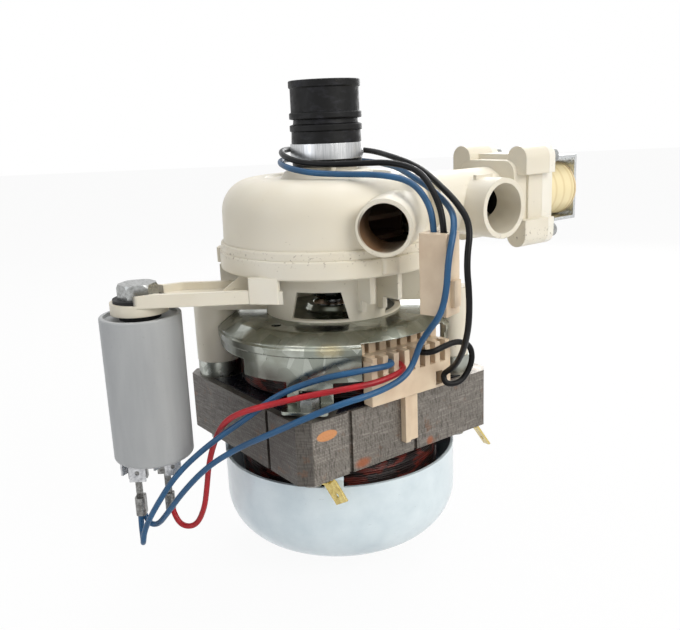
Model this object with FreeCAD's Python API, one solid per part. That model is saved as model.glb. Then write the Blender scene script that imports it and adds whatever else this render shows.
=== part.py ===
import FreeCAD, Part
import math
import os

os.makedirs("parts", exist_ok=True)

# Dishwasher circulation pump, in millimetres.
# Z runs up the motor shaft, the origin is the middle of the underside of the bearing cap,
# and -Y is the way the delivery pipe faces.

V = FreeCAD.Vector
UP = V(0, 0, 1)

# The motor core and the diverter valve are turned about the shaft.
CORE_TURN = 35.86

# Shared clearances
RUN = 0.03
AIR = 0.5
EASE = 0.2
FACE_GAP = 0.05

# Shaft and its plain bearings
SHAFT_R = 4.0
SHAFT_Z0 = 3.0
BUSH_R = 8.0
BUSH_LEN = 10.0
WASHER_T = 1.0
WASHER_R = 7.0

# Bearing cap and lower bell
CAP_R = 15.1
CAP_FOOT_R = 13.6
CAP_H = 7.0
CAP_SPIGOT_R = 10.0
CAP_TOP_Z = 15.0
CAP_FLOOR = 2.0
BELL_R = 47.5
BELL_T = 1.2
BELL_RIM_Z = 43.1
BELL_ROUND = 19.0

# Laminated core
CORE_X = 46.3
CORE_Y = 42.3
CORE_CHAMFER = 4.0
CORE_Z0 = 49.6
CORE_Z1 = 72.8
BORE_R = 23.0
SLOTS = 12
SLOT_R = 2.9
SLOT_PITCH_R = 28.6
SLOT_MOUTH = 1.6
GROOVE_W = 1.8
GROOVE_D = 1.2
SCREW_X = 36.0
SCREW_Y = 32.0
SCREW_R = 2.0
SCREW_HOLE_R = 2.25
SCREW_HEAD_R = 3.6
SCREW_HEAD_H = 2.6

# Windings
WIND_R0 = 25.2
WIND_UP = 15.0
WIND_DOWN = 15.5
FILM_T = 0.4

# Rotor
ROTOR_R = BORE_R - AIR
ROTOR_OVER = 1.5
CAGE_H = 3.0
CAGE_BARS = 10
CAGE_BAR_R = 1.6

# Upper shield
SHIELD_R = 46.0
WIND_R1 = SHIELD_R - 7.4
SHIELD_T = 1.2
SHIELD_TOP = 99.5
SHIELD_LIP_Z = 88.5
SHIELD_SKIRT_Z = 82.5
WINDOW_TOP_Z = 96.0
HUB_R = BUSH_R + SHIELD_T
HUB_TOP = SHIELD_TOP + 2.6

# Plastic casing
LANTERN_R = 27.0
LANTERN_T = 2.5
DECK_Z0 = 118.6
DECK_Z1 = 121.6
FLANGE_R = 43.6
FLANGE_TOP = 125.5
DRUM_R = 41.9
DRUM_TOP = 152.2
DRUM_ROUND = 12.5
BAND_R = 43.0
BAND_H = 3.2
SEAL_RING_T = 1.1
WALL = 2.4
POST_Z0 = 79.2
POST_R = 9.2
SLIM_POST_R = 5.6
POST_TOP = SHIELD_TOP + 7.5

# Inlet neck and hose
NECK_R = 11.6
NECK_BORE = 9.6
NECK_TOP = 171.0
HOSE_R = 13.2
HOSE_BORE = 11.2
HOSE_FOOT_Z = 155.6
HOSE_TOP_Z = 187.3

# Delivery pipe
PIPE_MOUTH = V(17.9, -47.8, 136.8)
PIPE_ROOT = V(27.2, -12.0, 137.6)
PIPE_MOUTH_R = 9.9
PIPE_ROOT_R = 11.4
PIPE_WALL = 1.5

# Diverter valve, in the turned frame: its axis runs along X
VALVE_Y = -31.4
VALVE_Z = 140.6
VALVE_PITCH = 14.7
VALVE_FACE = 56.0
VALVE_SPLIT = 69.6
VALVE_BACK = 78.6
VALVE_HALF = 16.0
VALVE_BORE = 9.3
RUN_R = 11.5
BRANCH_X = 41.9
BRANCH_Y = -52.6
BRANCH_Z = 138.2
BRANCH_R = 11.25
COIL_X0 = 80.6
COIL_X1 = 96.6
COIL_R = 11.0
TUBE_R = 5.0
PLUNGER_R = 4.2
PLUNGER_STROKE = 4.0

# Capacitor on its arm
CAP_X = -71.5
CAP_Y = -26.0
CAN_R = 15.0
CAN_Z0 = 50.4
CAN_Z1 = 106.2
EYE_R = 10.6
EYE_Z0 = 107.0
EYE_Z1 = 111.2
ARM_Z0 = 110.2
ARM_FLOOR = 112.2
ARM_TOP = 115.0
BOLT_R = 4.0
BOLT_AF = 13.0
BOLT_HEAD_H = 5.4
TAB_W = 6.3
TAB_T = 0.8

WIRE_D = 2.2


def cyl(radius, z0, z1, x=0.0, y=0.0):
    return Part.makeCylinder(radius, z1 - z0, V(x, y, z0), UP)


def tube(outer, inner, z0, z1, x=0.0, y=0.0):
    return cyl(outer, z0, z1, x, y).cut(cyl(inner, z0 - 1.0, z1 + 1.0, x, y))


def box(x0, x1, y0, y1, z0, z1):
    return Part.makeBox(x1 - x0, y1 - y0, z1 - z0, V(x0, y0, z0))


def xcyl(radius, x0, x1, y, z):
    return Part.makeCylinder(radius, x1 - x0, V(x0, y, z), V(1, 0, 0))


def ycyl(radius, y0, y1, x, z):
    return Part.makeCylinder(radius, y1 - y0, V(x, y0, z), V(0, 1, 0))


def turn(shape, degrees=CORE_TURN):
    turned_shape = shape.copy()
    turned_shape.rotate(V(0, 0, 0), UP, degrees)
    return turned_shape


def corner_edges(before, corner, after, radius):
    into = (corner - before).normalize()
    out = (after - corner).normalize()
    half = into.getAngle(out) / 2.0
    if radius <= 0.0 or half < 1e-4:
        return corner, corner, None
    reach = radius * math.tan(half)
    start = corner - into * reach
    end = corner + out * reach
    inward = (out - into).normalize()
    centre = corner + inward * (radius / math.cos(half))
    return start, end, Part.Arc(start, centre - inward * radius, end).toShape()


def rounded_wire(corners, closed=True):
    # corners are (point, radius) pairs, joined by straight runs with tangent arcs at the corners
    count = len(corners)
    bends = []
    for i, (point, radius) in enumerate(corners):
        if not closed and i in (0, count - 1):
            bends.append((point, point, None))
            continue
        before = corners[(i - 1) % count][0]
        after = corners[(i + 1) % count][0]
        bends.append(corner_edges(before, point, after, radius))
    edges = []
    for i, (start, end, arc) in enumerate(bends):
        if arc is not None:
            edges.append(arc)
        if not closed and i == count - 1:
            break
        following = bends[(i + 1) % count][0]
        if (following - end).Length > 1e-6:
            edges.append(Part.makeLine(end, following))
    return Part.Wire(edges)


def turned(profile):
    # profile: (radius, height, corner radius) round a closed section beside the shaft axis
    wire = rounded_wire([(V(r, 0, z), fillet) for r, z, fillet in profile])
    return Part.Face(wire).revolve(V(0, 0, 0), UP, 360.0)


def plate(outline, z0, z1):
    wire = rounded_wire([(V(x, y, z0), fillet) for x, y, fillet in outline])
    return Part.Face(wire).extrude(V(0, 0, z1 - z0))


def rounded_box(x0, x1, y0, y1, z0, z1, fillet):
    corners = [(x0, y0, fillet), (x1, y0, fillet), (x1, y1, fillet), (x0, y1, fillet)]
    return plate(corners, z0, z1)


def sector(radius, start, stop, z0, z1):
    wedge = Part.makeCylinder(radius, z1 - z0, V(0, 0, z0), UP, stop - start)
    return turn(wedge, start)


def hexagon(across_flats, z0, z1, x, y):
    reach = across_flats / math.sqrt(3.0)
    points = []
    for i in range(7):
        angle = math.radians(60 * i + 12)
        points.append(V(x + reach * math.cos(angle), y + reach * math.sin(angle), z0))
    return Part.Face(Part.makePolygon(points)).extrude(V(0, 0, z1 - z0))


def around(shape, count, first=0.0):
    return [turn(shape, first + 360.0 * i / count) for i in range(count)]


def lie_along_x(shape, x, y, z):
    # turns a shape made round Z until it lies round X
    laid = shape.copy()
    laid.rotate(V(0, 0, 0), V(0, 1, 0), 90)
    laid.translate(V(x, y, z))
    return laid


def save(name, shape):
    shape.exportStep("parts/" + name + ".step")


def screw_places():
    return [(sx * SCREW_X, sy * SCREW_Y) for sx in (-1, 1) for sy in (-1, 1)]


# Bearing cap: a turned cup with a spigot through the bell, holding the lower bush
CAP_BORE_Z = 4.0
bearing_cap = turned([
    (0.0, 0.0, 0.0), (CAP_FOOT_R, 0.0, 1.6), (CAP_R, 2.2, 1.2), (CAP_R, CAP_H, 0.0),
    (CAP_SPIGOT_R, CAP_H, 0.0), (CAP_SPIGOT_R, CAP_TOP_Z, 0.6), (BUSH_R, CAP_TOP_Z, 0.0),
    (BUSH_R, CAP_BORE_Z, 0.0), (SHAFT_R + AIR, CAP_BORE_Z, 0.0),
    (SHAFT_R + AIR, CAP_FLOOR, 0.0), (0.0, CAP_FLOOR, 0.0)])
save("bearing_cap", bearing_cap)

LOWER_BUSH_Z = CAP_BORE_Z
lower_bush = tube(BUSH_R, SHAFT_R + RUN, LOWER_BUSH_Z, LOWER_BUSH_Z + BUSH_LEN)
save("lower_bush", lower_bush)

# Lower bell: a drawn cup with four ears that fold out under the core's screws
bell = turned([
    (CAP_SPIGOT_R, CAP_H, 0.0), (BELL_R, CAP_H, BELL_ROUND), (BELL_R, BELL_RIM_Z, 0.0),
    (BELL_R - BELL_T, BELL_RIM_Z, 0.0), (BELL_R - BELL_T, CAP_H + BELL_T, BELL_ROUND - BELL_T),
    (CAP_SPIGOT_R, CAP_H + BELL_T, 0.0)])
EAR_SWEEP = 8.5
EAR_OFFSET = 5.0
EAR_REACH = 52.6
EAR_Z0 = CORE_Z0 - BELL_T
for sx, sy in screw_places():
    bearing = math.degrees(math.atan2(sy, sx))
    stem = sector(BELL_R, bearing + EAR_OFFSET, bearing + EAR_OFFSET + EAR_SWEEP, BELL_RIM_Z - 1.0, CORE_Z0)
    stem = stem.cut(cyl(BELL_R - BELL_T, BELL_RIM_Z - 2.0, CORE_Z0 + 1.0))
    ear = sector(EAR_REACH, bearing - 5.5, bearing + EAR_OFFSET + EAR_SWEEP, EAR_Z0, CORE_Z0)
    ear = ear.cut(cyl(43.4, EAR_Z0 - 1.0, CORE_Z0 + 1.0))
    bell = bell.fuse([stem, ear]).cut(cyl(SCREW_HOLE_R, EAR_Z0 - 1.0, CORE_Z0 + 1.0, sx, sy))
lower_bell = turn(bell.removeSplitter())
save("lower_bell", lower_bell)

# Laminated core with chamfered corners, edge grooves, round slots and screw holes
core = plate([
    (-CORE_X + CORE_CHAMFER, -CORE_Y, 0.0), (CORE_X - CORE_CHAMFER, -CORE_Y, 0.0),
    (CORE_X, -CORE_Y + CORE_CHAMFER, 0.0), (CORE_X, CORE_Y - CORE_CHAMFER, 0.0),
    (CORE_X - CORE_CHAMFER, CORE_Y, 0.0), (-CORE_X + CORE_CHAMFER, CORE_Y, 0.0),
    (-CORE_X, CORE_Y - CORE_CHAMFER, 0.0), (-CORE_X, -CORE_Y + CORE_CHAMFER, 0.0)], CORE_Z0, CORE_Z1)
core_cuts = [cyl(BORE_R, CORE_Z0 - 1.0, CORE_Z1 + 1.0)]
slot = cyl(SLOT_R, CORE_Z0 - 1.0, CORE_Z1 + 1.0, SLOT_PITCH_R)
mouth = box(BORE_R - 1.0, SLOT_PITCH_R, -SLOT_MOUTH / 2.0, SLOT_MOUTH / 2.0, CORE_Z0 - 1.0, CORE_Z1 + 1.0)
core_cuts += around(slot.fuse(mouth), SLOTS)
GROOVES_FRONT = (-25.6, 5.0)
GROOVE_SIDE = -19.8
grooves = []
for gx in GROOVES_FRONT:
    grooves.append(box(gx - GROOVE_W / 2.0, gx + GROOVE_W / 2.0, -CORE_Y - 1.0, -CORE_Y + GROOVE_D,
                       CORE_Z0 - 1.0, CORE_Z1 + 1.0))
grooves.append(box(-CORE_X - 1.0, -CORE_X + GROOVE_D, GROOVE_SIDE - GROOVE_W / 2.0,
                   GROOVE_SIDE + GROOVE_W / 2.0, CORE_Z0 - 1.0, CORE_Z1 + 1.0))
for groove in grooves:
    core_cuts += around(groove, 2)
for sx, sy in screw_places():
    core_cuts.append(cyl(SCREW_HOLE_R, CORE_Z0 - 1.0, CORE_Z1 + 1.0, sx, sy))
save("stator_core", turn(core.cut(core_cuts)))

# Insulating film on the top of the core
film = rounded_box(-CORE_X + 3.0, CORE_X - 3.0, -CORE_Y + 1.5, CORE_Y - 1.5, CORE_Z1, CORE_Z1 + FILM_T, 6.0)
film = film.cut([cyl(WIND_R0 - 1.0, CORE_Z1 - 1.0, CORE_Z1 + 1.0)]
                + [cyl(10.4, CORE_Z1 - 1.0, CORE_Z1 + 1.0, sx, sy) for sx, sy in screw_places()])
for place in around(cyl(SLOT_R, CORE_Z1 - 1.0, CORE_Z1 + 1.0, SLOT_PITCH_R), SLOTS):
    film = film.cut(place)
save("core_film", turn(film))

# Windings: an overhang ring at each end, joined by the coil sides in the slots
over_z = CORE_Z1 + FILM_T
under_z = CORE_Z0 - WIND_DOWN
coil_ring_top = turned([
    (WIND_R0, over_z, 0.0), (WIND_R1, over_z, 2.0), (WIND_R1, over_z + WIND_UP, 5.0),
    (WIND_R0 + 3.0, over_z + WIND_UP, 4.0)])
coil_ring_low = turned([
    (WIND_R0 + 2.0, under_z, 5.0), (WIND_R1 + 1.6, under_z, 6.0), (WIND_R1 + 1.6, CORE_Z0, 0.0),
    (WIND_R0, CORE_Z0, 0.0)])
coil_sides = around(cyl(SLOT_R - EASE, CORE_Z0 - 1.0, over_z + 1.0, SLOT_PITCH_R), SLOTS)
windings = coil_ring_top.fuse([coil_ring_low] + coil_sides)
save("stator_windings", turn(windings))

# Rotor: laminations, cast cage, shaft with a keyed top
ROTOR_Z0 = CORE_Z0 - ROTOR_OVER
ROTOR_Z1 = CORE_Z1 + ROTOR_OVER
cage_bars = around(cyl(CAGE_BAR_R, ROTOR_Z0, ROTOR_Z1, ROTOR_R - 3.2), CAGE_BARS)
rotor_core = tube(ROTOR_R, SHAFT_R, ROTOR_Z0, ROTOR_Z1).cut(cage_bars)
save("rotor_core", rotor_core)
cage = tube(ROTOR_R - 0.6, 11.0, ROTOR_Z0 - CAGE_H, ROTOR_Z0)
cage = cage.fuse([tube(ROTOR_R - 0.6, 11.0, ROTOR_Z1, ROTOR_Z1 + CAGE_H)] + cage_bars)
save("rotor_cage", cage)

# Upper bush hub, impeller stack-up and shaft
UPPER_BUSH_Z = SHIELD_TOP - SHIELD_T - BUSH_LEN + 3.0
SLINGER_Z = HUB_TOP + 1.6
SLINGER_H = 7.0
SLINGER_R = 9.0
SEAT_Z0 = DECK_Z0 + 0.4
SEAT_Z1 = DECK_Z1 + 2.0
SEAL_R = 10.0
SEAL_Z0 = SEAT_Z1 + FACE_GAP
SEAL_H = 5.4
IMPELLER_Z0 = SEAL_Z0 + SEAL_H
IMPELLER_R = 29.0
SHROUD_T = 1.6
VANE_H = 8.4
VANES = 6
VANE_T = 1.8
SHAFT_Z1 = IMPELLER_Z0 + 12.0
shaft = turned([
    (0.0, SHAFT_Z0, 0.0), (SHAFT_R - 0.5, SHAFT_Z0, 0.0), (SHAFT_R, SHAFT_Z0 + 0.5, 0.0),
    (SHAFT_R, SHAFT_Z1 - 0.5, 0.0), (SHAFT_R - 0.5, SHAFT_Z1, 0.0), (0.0, SHAFT_Z1, 0.0)])
save("shaft", shaft)

for name, z0 in (("lower_washer", LOWER_BUSH_Z + BUSH_LEN + 0.6), ("upper_washer", UPPER_BUSH_Z - 0.6 - WASHER_T)):
    save(name, tube(WASHER_R, SHAFT_R, z0, z0 + WASHER_T))

upper_bush = tube(BUSH_R, SHAFT_R + RUN, UPPER_BUSH_Z, UPPER_BUSH_Z + BUSH_LEN)
save("upper_bush", upper_bush)

slinger = turned([
    (SHAFT_R, SLINGER_Z, 0.0), (6.5, SLINGER_Z, 0.0), (SLINGER_R, SLINGER_Z + 2.2, 0.6),
    (SLINGER_R, SLINGER_Z + 3.8, 0.6), (6.0, SLINGER_Z + 4.6, 0.8), (5.8, SLINGER_Z + SLINGER_H, 0.6),
    (SHAFT_R, SLINGER_Z + SLINGER_H, 0.0)])
save("slinger", slinger)

# Upper shield: a domed pressing with a bearing hub, two skirts, two straps and window openings
dome = turned([
    (BUSH_R, UPPER_BUSH_Z, 0.0), (HUB_R, UPPER_BUSH_Z, 0.0), (HUB_R, SHIELD_TOP - SHIELD_T, 0.8),
    (39.5, SHIELD_TOP - SHIELD_T, 3.8), (SHIELD_R - SHIELD_T, 94.6, 0.8), (SHIELD_R - SHIELD_T, SHIELD_SKIRT_Z, 0.0),
    (SHIELD_R, SHIELD_SKIRT_Z, 0.0), (SHIELD_R, 95.4, 1.6), (39.5, SHIELD_TOP, 5.0),
    (HUB_R + 2.0, SHIELD_TOP, 1.2), (HUB_R + 1.0, HUB_TOP, 0.8), (BUSH_R, HUB_TOP, 0.0)])
bead = turned([(SHIELD_R - 0.2, 91.6, 0.0), (SHIELD_R + 0.7, 92.2, 0.0), (SHIELD_R + 0.7, 94.6, 0.0),
               (SHIELD_R - 0.2, 95.2, 0.0)])
dome = dome.fuse(bead)
SKIRT_A0 = 186.5
SKIRT_A1 = 245.5
WINDOW_A1 = 300.0
windows = []
for half in (0.0, 180.0):
    windows.append(sector(60.0, SKIRT_A1 + half, WINDOW_A1 + half, SHIELD_SKIRT_Z - 1.0, WINDOW_TOP_Z))
    windows.append(sector(60.0, WINDOW_A1 + half, SKIRT_A0 + 180.0 + half, SHIELD_SKIRT_Z - 1.0, SHIELD_LIP_Z))
inner = cyl(SHIELD_R - 4.0, SHIELD_SKIRT_Z - 2.0, WINDOW_TOP_Z + 1.0)
for wedge in windows:
    dome = dome.cut(wedge.cut(inner))
NUT_AF = 7.0
NUT_H = 3.0
STRAP_W = 17.0
STRAP_R = SHIELD_R - SHIELD_T
FOOT_TOP = CORE_Z1 + 2.4
FOOT_REACH = 55.6
corner_bearing = 180.0 + math.degrees(math.atan2(SCREW_Y, SCREW_X))
strap = box(STRAP_R - 1.0, STRAP_R + SHIELD_T, -STRAP_W / 2.0, STRAP_W / 2.0, FOOT_TOP - SHIELD_T, SHIELD_SKIRT_Z + 4.0)
strap = strap.cut(cyl(STRAP_R, FOOT_TOP - 3.0, SHIELD_SKIRT_Z + 6.0)).common(cyl(SHIELD_R, FOOT_TOP - 3.0, SHIELD_SKIRT_Z + 6.0))
nut_relief = cyl(NUT_AF / math.sqrt(3.0) + AIR, FOOT_TOP, FOOT_TOP + NUT_H + 1.4, math.hypot(SCREW_X, SCREW_Y))
strap = strap.cut(nut_relief)
foot = rounded_box(STRAP_R - 1.4, FOOT_REACH, -STRAP_W / 2.0, STRAP_W / 2.0, FOOT_TOP - SHIELD_T, FOOT_TOP, 2.0)
for half in (0.0, 180.0):
    dome = dome.fuse([turn(strap, corner_bearing + half), turn(foot, corner_bearing + half)])
for sx, sy in screw_places():
    if sx * sy > 0:
        dome = dome.cut(cyl(SCREW_HOLE_R, FOOT_TOP - 3.0, FOOT_TOP + 1.0, sx, sy))
    else:
        dome = dome.cut(cyl(POST_R + AIR, SHIELD_SKIRT_Z - 3.0, SHIELD_TOP + 2.0, sx, sy))
DRAIN_R = 1.9
for bearing in (-22.0, 15.0, 105.0, 195.0):
    dome = dome.cut(turn(cyl(DRAIN_R, SHIELD_TOP - 4.0, SHIELD_TOP + 1.0, 34.2), bearing))
save("upper_shield", turn(dome.removeSplitter()))

# Seats under the strap feet and the plastic posts
strap_seats = [tube(5.0, SCREW_HOLE_R, CORE_Z1, FOOT_TOP - SHIELD_T, sx, sy) for sx, sy in screw_places() if sx * sy > 0]
save("strap_seats", turn(Part.makeCompound(strap_seats)))
post_feet = []
for sx, sy, radius in ((-SCREW_X, SCREW_Y, POST_R - 0.2), (SCREW_X, -SCREW_Y, SLIM_POST_R + 0.8)):
    foot_tube = tube(radius, SCREW_HOLE_R, CORE_Z1, POST_Z0, sx, sy)
    post_feet.append(foot_tube)
save("post_feet", turn(Part.makeCompound(post_feet)))

# Four long screws from the bell's ears: two end in nuts on the strap feet, two in the posts
POST_GRIP = 12.0
screws = []
nuts = []
for sx, sy in screw_places():
    end = FOOT_TOP + NUT_H + 1.0 if sx * sy > 0 else POST_Z0 + POST_GRIP
    seat_z = EAR_Z0 - TAB_T if sy < 0 else EAR_Z0
    head = cyl(SCREW_HEAD_R, seat_z - SCREW_HEAD_H, seat_z, sx, sy)
    screws.append(cyl(SCREW_R, seat_z - 0.5, end, sx, sy).fuse(head))
    if sx * sy > 0:
        nuts.append(hexagon(NUT_AF, FOOT_TOP, FOOT_TOP + NUT_H, sx, sy).cut(cyl(SCREW_R, FOOT_TOP - 1.0, FOOT_TOP + 6.0, sx, sy)))
save("motor_screws", turn(Part.makeCompound(screws)))
save("motor_nuts", turn(Part.makeCompound(nuts)))

# Rubber ring between the two casing halves
casing_seal = tube(DRUM_R - 0.4, DRUM_R - 3.6, FLANGE_TOP - SEAL_RING_T, FLANGE_TOP)
save("casing_seal", casing_seal)

# Lower casing: deck and flange, windowed lantern, capacitor arm, two posts
casing = turned([
    (SEAL_R + 0.6, DECK_Z0, 0.0), (FLANGE_R, DECK_Z0, 1.0), (FLANGE_R, FLANGE_TOP, 0.6),
    (DRUM_R - 0.4, FLANGE_TOP, 0.0), (DRUM_R - 0.4, FLANGE_TOP - SEAL_RING_T, 0.0),
    (DRUM_R - 3.6, FLANGE_TOP - SEAL_RING_T, 0.0), (DRUM_R - 3.6, DECK_Z1, 0.0), (SEAL_R + 0.6, DECK_Z1, 0.0)])
lantern = tube(LANTERN_R, LANTERN_R - LANTERN_T, SHIELD_TOP, DECK_Z0 + 0.5)
WINDOW_Z0 = SHIELD_TOP + 0.8
WINDOW_Z1 = DECK_Z0 - 7.6
port = Part.Face(Part.makePolygon([
    V(0, -11.0, WINDOW_Z0), V(0, 11.0, WINDOW_Z0), V(0, 8.4, WINDOW_Z1), V(0, -8.4, WINDOW_Z1),
    V(0, -11.0, WINDOW_Z0)])).extrude(V(LANTERN_R + 3.0, 0, 0))
for bearing in (258.0, 340.0, 78.0, 160.0):
    lantern = lantern.cut(turn(port, bearing))
casing = casing.fuse(lantern)
for bearing in (292.0, 310.0, 30.0, 120.0, 200.0):
    rib = box(LANTERN_R - 1.0, 38.0, -1.1, 1.1, SHIELD_TOP + 4.0, DECK_Z0 + 0.5)
    casing = casing.fuse(turn(rib.cut(box(LANTERN_R + 3.0, 40.0, -2.0, 2.0, SHIELD_TOP + 3.0, DECK_Z0 - 10.6)), bearing))

arm_outline = [
    (CAP_X, CAP_Y - EYE_R, 0.0), (-57.0, -36.2, 6.0), (-27.0, -36.0, 8.0), (-17.6, -39.4, 0.0),
    (-24.0, -20.0, 0.0), (-36.0, -14.6, 3.0), (-48.0, -14.2, 4.0), (-57.0, -13.4, 4.0), (-64.0, -16.6, 4.0),
    (CAP_X, CAP_Y + EYE_R, 0.0)]
RIM_W = 2.0
arm_solid = plate(arm_outline, ARM_Z0, ARM_TOP)
arm_hollow = plate([
    (-64.0, -33.6, 1.5), (-57.0, -34.2, 4.0), (-27.5, -34.0, 8.0), (-12.0, -40.0, 0.0),
    (-16.0, -22.0, 0.0), (-36.0, -16.8, 3.0), (-48.0, -16.3, 4.0), (-57.0, -15.5, 4.0), (-64.0, -19.0, 1.5)],
    ARM_FLOOR, ARM_TOP + 1.0)
eye_clear = cyl(EYE_R, EYE_Z1, ARM_TOP + 1.0, CAP_X, CAP_Y)
arm = arm_solid.cut([arm_hollow, eye_clear]).fuse(cyl(EYE_R, EYE_Z0, EYE_Z1, CAP_X, CAP_Y))
gusset = Part.Face(Part.makePolygon([
    V(-42.5, 0, ARM_FLOOR - 0.5), V(-24.0, 0, ARM_FLOOR - 0.5), V(-24.0, 0, DECK_Z0 + 2.0),
    V(-31.0, 0, DECK_Z0 + 2.0), V(-42.5, 0, ARM_FLOOR - 0.5)])).extrude(V(0, 1.8, 0))
gusset.translate(V(0, -24.6, 0))
tail = plate([(-30.0, -36.4, 0.6), (-19.4, -39.0, 0.6), (-18.4, -36.8, 0.6), (-29.6, -34.2, 0.6)], ARM_Z0, DECK_Z0 + 1.0)
arm = arm.fuse([gusset, tail])
arm = arm.cut(cyl(LANTERN_R + 7.0, ARM_Z0 - 1.0, DECK_Z0, 0, 0)).cut(cyl(BOLT_R + 0.3, EYE_Z0 - 1.0, EYE_Z1 + 5.0, CAP_X, CAP_Y))
casing = casing.fuse(arm)

# Each web stands on the side of its post that faces away from the window beside it
WEB_GAP = 1.6
WEB_SIDE = SCREW_R + 0.4
for sx, sy, radius in ((-SCREW_X, SCREW_Y, POST_R), (SCREW_X, -SCREW_Y, SLIM_POST_R)):
    post = cyl(radius, POST_Z0, POST_TOP, sx, sy)
    web = box(0.0, math.hypot(sx, sy), WEB_SIDE, radius, SHIELD_TOP + WEB_GAP, POST_TOP)
    web = web.fuse(box(0.0, FLANGE_R - 0.4, WEB_SIDE, radius, POST_TOP - 1.0, DECK_Z0 + 1.0))
    web = turn(web, math.degrees(math.atan2(sy, sx))).cut(cyl(LANTERN_R - 1.0, SHIELD_TOP, DECK_Z0 + 2.0))
    post = post.fuse(web)
    post = post.cut(cyl(SCREW_R, POST_Z0 - 1.0, POST_Z0 + POST_GRIP + 1.0, sx, sy))
    casing = casing.fuse(turn(post))
lug = rounded_box(-FLANGE_R - 1.6, -FLANGE_R + 4.0, -3.4, 3.4, DECK_Z0 + 1.2, FLANGE_TOP, 1.2)
casing = casing.fuse(turn(lug, -3.0)).fuse(turn(lug, 118.0)).fuse(turn(lug, 236.0)).cut(casing_seal)
save("lower_casing", casing.removeSplitter())

# Face seal: fixed seat in the deck, turning head on the shaft
seal_seat = turned([
    (SHAFT_R + AIR, SEAT_Z0, 0.0), (SEAL_R + 0.6, SEAT_Z0, 0.0), (SEAL_R + 0.6, DECK_Z1, 0.0),
    (SEAL_R - 1.0, SEAT_Z1, 0.0), (SHAFT_R + AIR, SEAT_Z1, 0.0)])
save("seal_seat", seal_seat)
seal_head = turned([
    (SHAFT_R, SEAL_Z0, 0.0), (SEAL_R - 1.6, SEAL_Z0, 0.0), (SEAL_R - 1.6, SEAL_Z0 + 2.0, 0.4),
    (SEAL_R - 3.0, SEAL_Z0 + 3.2, 0.6), (SEAL_R - 3.0, SEAL_Z0 + SEAL_H, 0.0), (SHAFT_R, SEAL_Z0 + SEAL_H, 0.0)])
save("seal_head", seal_head)

# Closed impeller with curved vanes
vane_z0 = IMPELLER_Z0 + SHROUD_T
vane_z1 = vane_z0 + VANE_H
EYE_BORE = 9.0
back_disc = tube(IMPELLER_R, SHAFT_R, IMPELLER_Z0, vane_z0)
hub = turned([
    (SHAFT_R, IMPELLER_Z0, 0.0), (9.5, IMPELLER_Z0, 0.0), (9.5, vane_z0 + 0.4, 2.0), (6.6, SHAFT_Z1, 1.0),
    (SHAFT_R, SHAFT_Z1, 0.0)])
shroud = turned([
    (EYE_BORE, vane_z1 - 0.2, 0.0), (IMPELLER_R, vane_z1 - 2.4, 0.0), (IMPELLER_R, vane_z1 - 0.8, 0.0),
    (EYE_BORE + SHROUD_T, vane_z1 + 1.4, 1.0), (EYE_BORE + SHROUD_T, vane_z1 + 4.0, 0.0), (EYE_BORE, vane_z1 + 4.0, 0.0)])
VANE_BEND = 26.0
vane = Part.makeCylinder(VANE_BEND, VANE_H - 1.6, V(7.0, -VANE_BEND + 2.0, vane_z0 - 0.2), UP)
vane = vane.cut(Part.makeCylinder(VANE_BEND - VANE_T, VANE_H + 2.0, V(7.0, -VANE_BEND + 2.0, vane_z0 - 1.0), UP))
vane = vane.common(tube(IMPELLER_R - 0.1, 8.0, vane_z0 - 0.2, vane_z1)).common(box(0.0, 40.0, -40.0, 40.0, 100.0, 160.0))
impeller = back_disc.fuse([hub, shroud] + around(vane, VANES)).removeSplitter()
save("impeller", impeller)

# Volute housing: drum, inlet neck, delivery pipe and the tee of the diverter valve in one moulding
NECK_BOSS_R = 17.6
RECESS_R = 24.4
drum = turned([
    (0.0, FLANGE_TOP, 0.0), (BAND_R, FLANGE_TOP, 0.0), (BAND_R, FLANGE_TOP + BAND_H, 0.7),
    (DRUM_R, FLANGE_TOP + BAND_H, 0.0), (DRUM_R - 0.5, DRUM_TOP, DRUM_ROUND), (RECESS_R, DRUM_TOP, 0.0),
    (RECESS_R - 0.8, DRUM_TOP - 1.0, 0.0), (NECK_BOSS_R + 0.9, DRUM_TOP - 1.0, 0.0),
    (NECK_BOSS_R - 1.2, DRUM_TOP + 2.0, 1.4), (NECK_R, DRUM_TOP + 2.0, 0.0), (NECK_R, NECK_TOP, 0.8),
    (0.0, NECK_TOP, 0.0)])


def pipe_between(start, end, start_radius, end_radius):
    along = end - start
    return Part.makeCone(start_radius, end_radius, along.Length, start, along)


flow = (PIPE_ROOT - PIPE_MOUTH).normalize()
delivery = pipe_between(PIPE_MOUTH, PIPE_ROOT, PIPE_MOUTH_R, PIPE_ROOT_R)
delivery_bore = pipe_between(PIPE_MOUTH - flow, PIPE_ROOT, PIPE_MOUTH_R - PIPE_WALL, PIPE_ROOT_R - PIPE_WALL - 0.6)

run_pipe = xcyl(RUN_R, 20.0, VALVE_FACE + 5.0, VALVE_Y, VALVE_Z)
branch = ycyl(BRANCH_R, BRANCH_Y, VALVE_Y, BRANCH_X, BRANCH_Z)
branch = branch.fuse(Part.makeSphere(BRANCH_R, V(BRANCH_X, VALVE_Y, BRANCH_Z)))
CHAMBER_R = 12.0
chamber = lie_along_x(rounded_box(-14.0, 14.0, -15.0, 13.0, VALVE_FACE - 2.0, VALVE_FACE + 7.0, 5.0), 0, VALVE_Y, VALVE_Z)
LIP = 61.4
flange = lie_along_x(rounded_box(-VALVE_HALF, VALVE_HALF, -VALVE_HALF, VALVE_HALF, LIP, VALVE_SPLIT, 5.0),
                     0, VALVE_Y, VALVE_Z)
BOSS_R = 4.7


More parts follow.
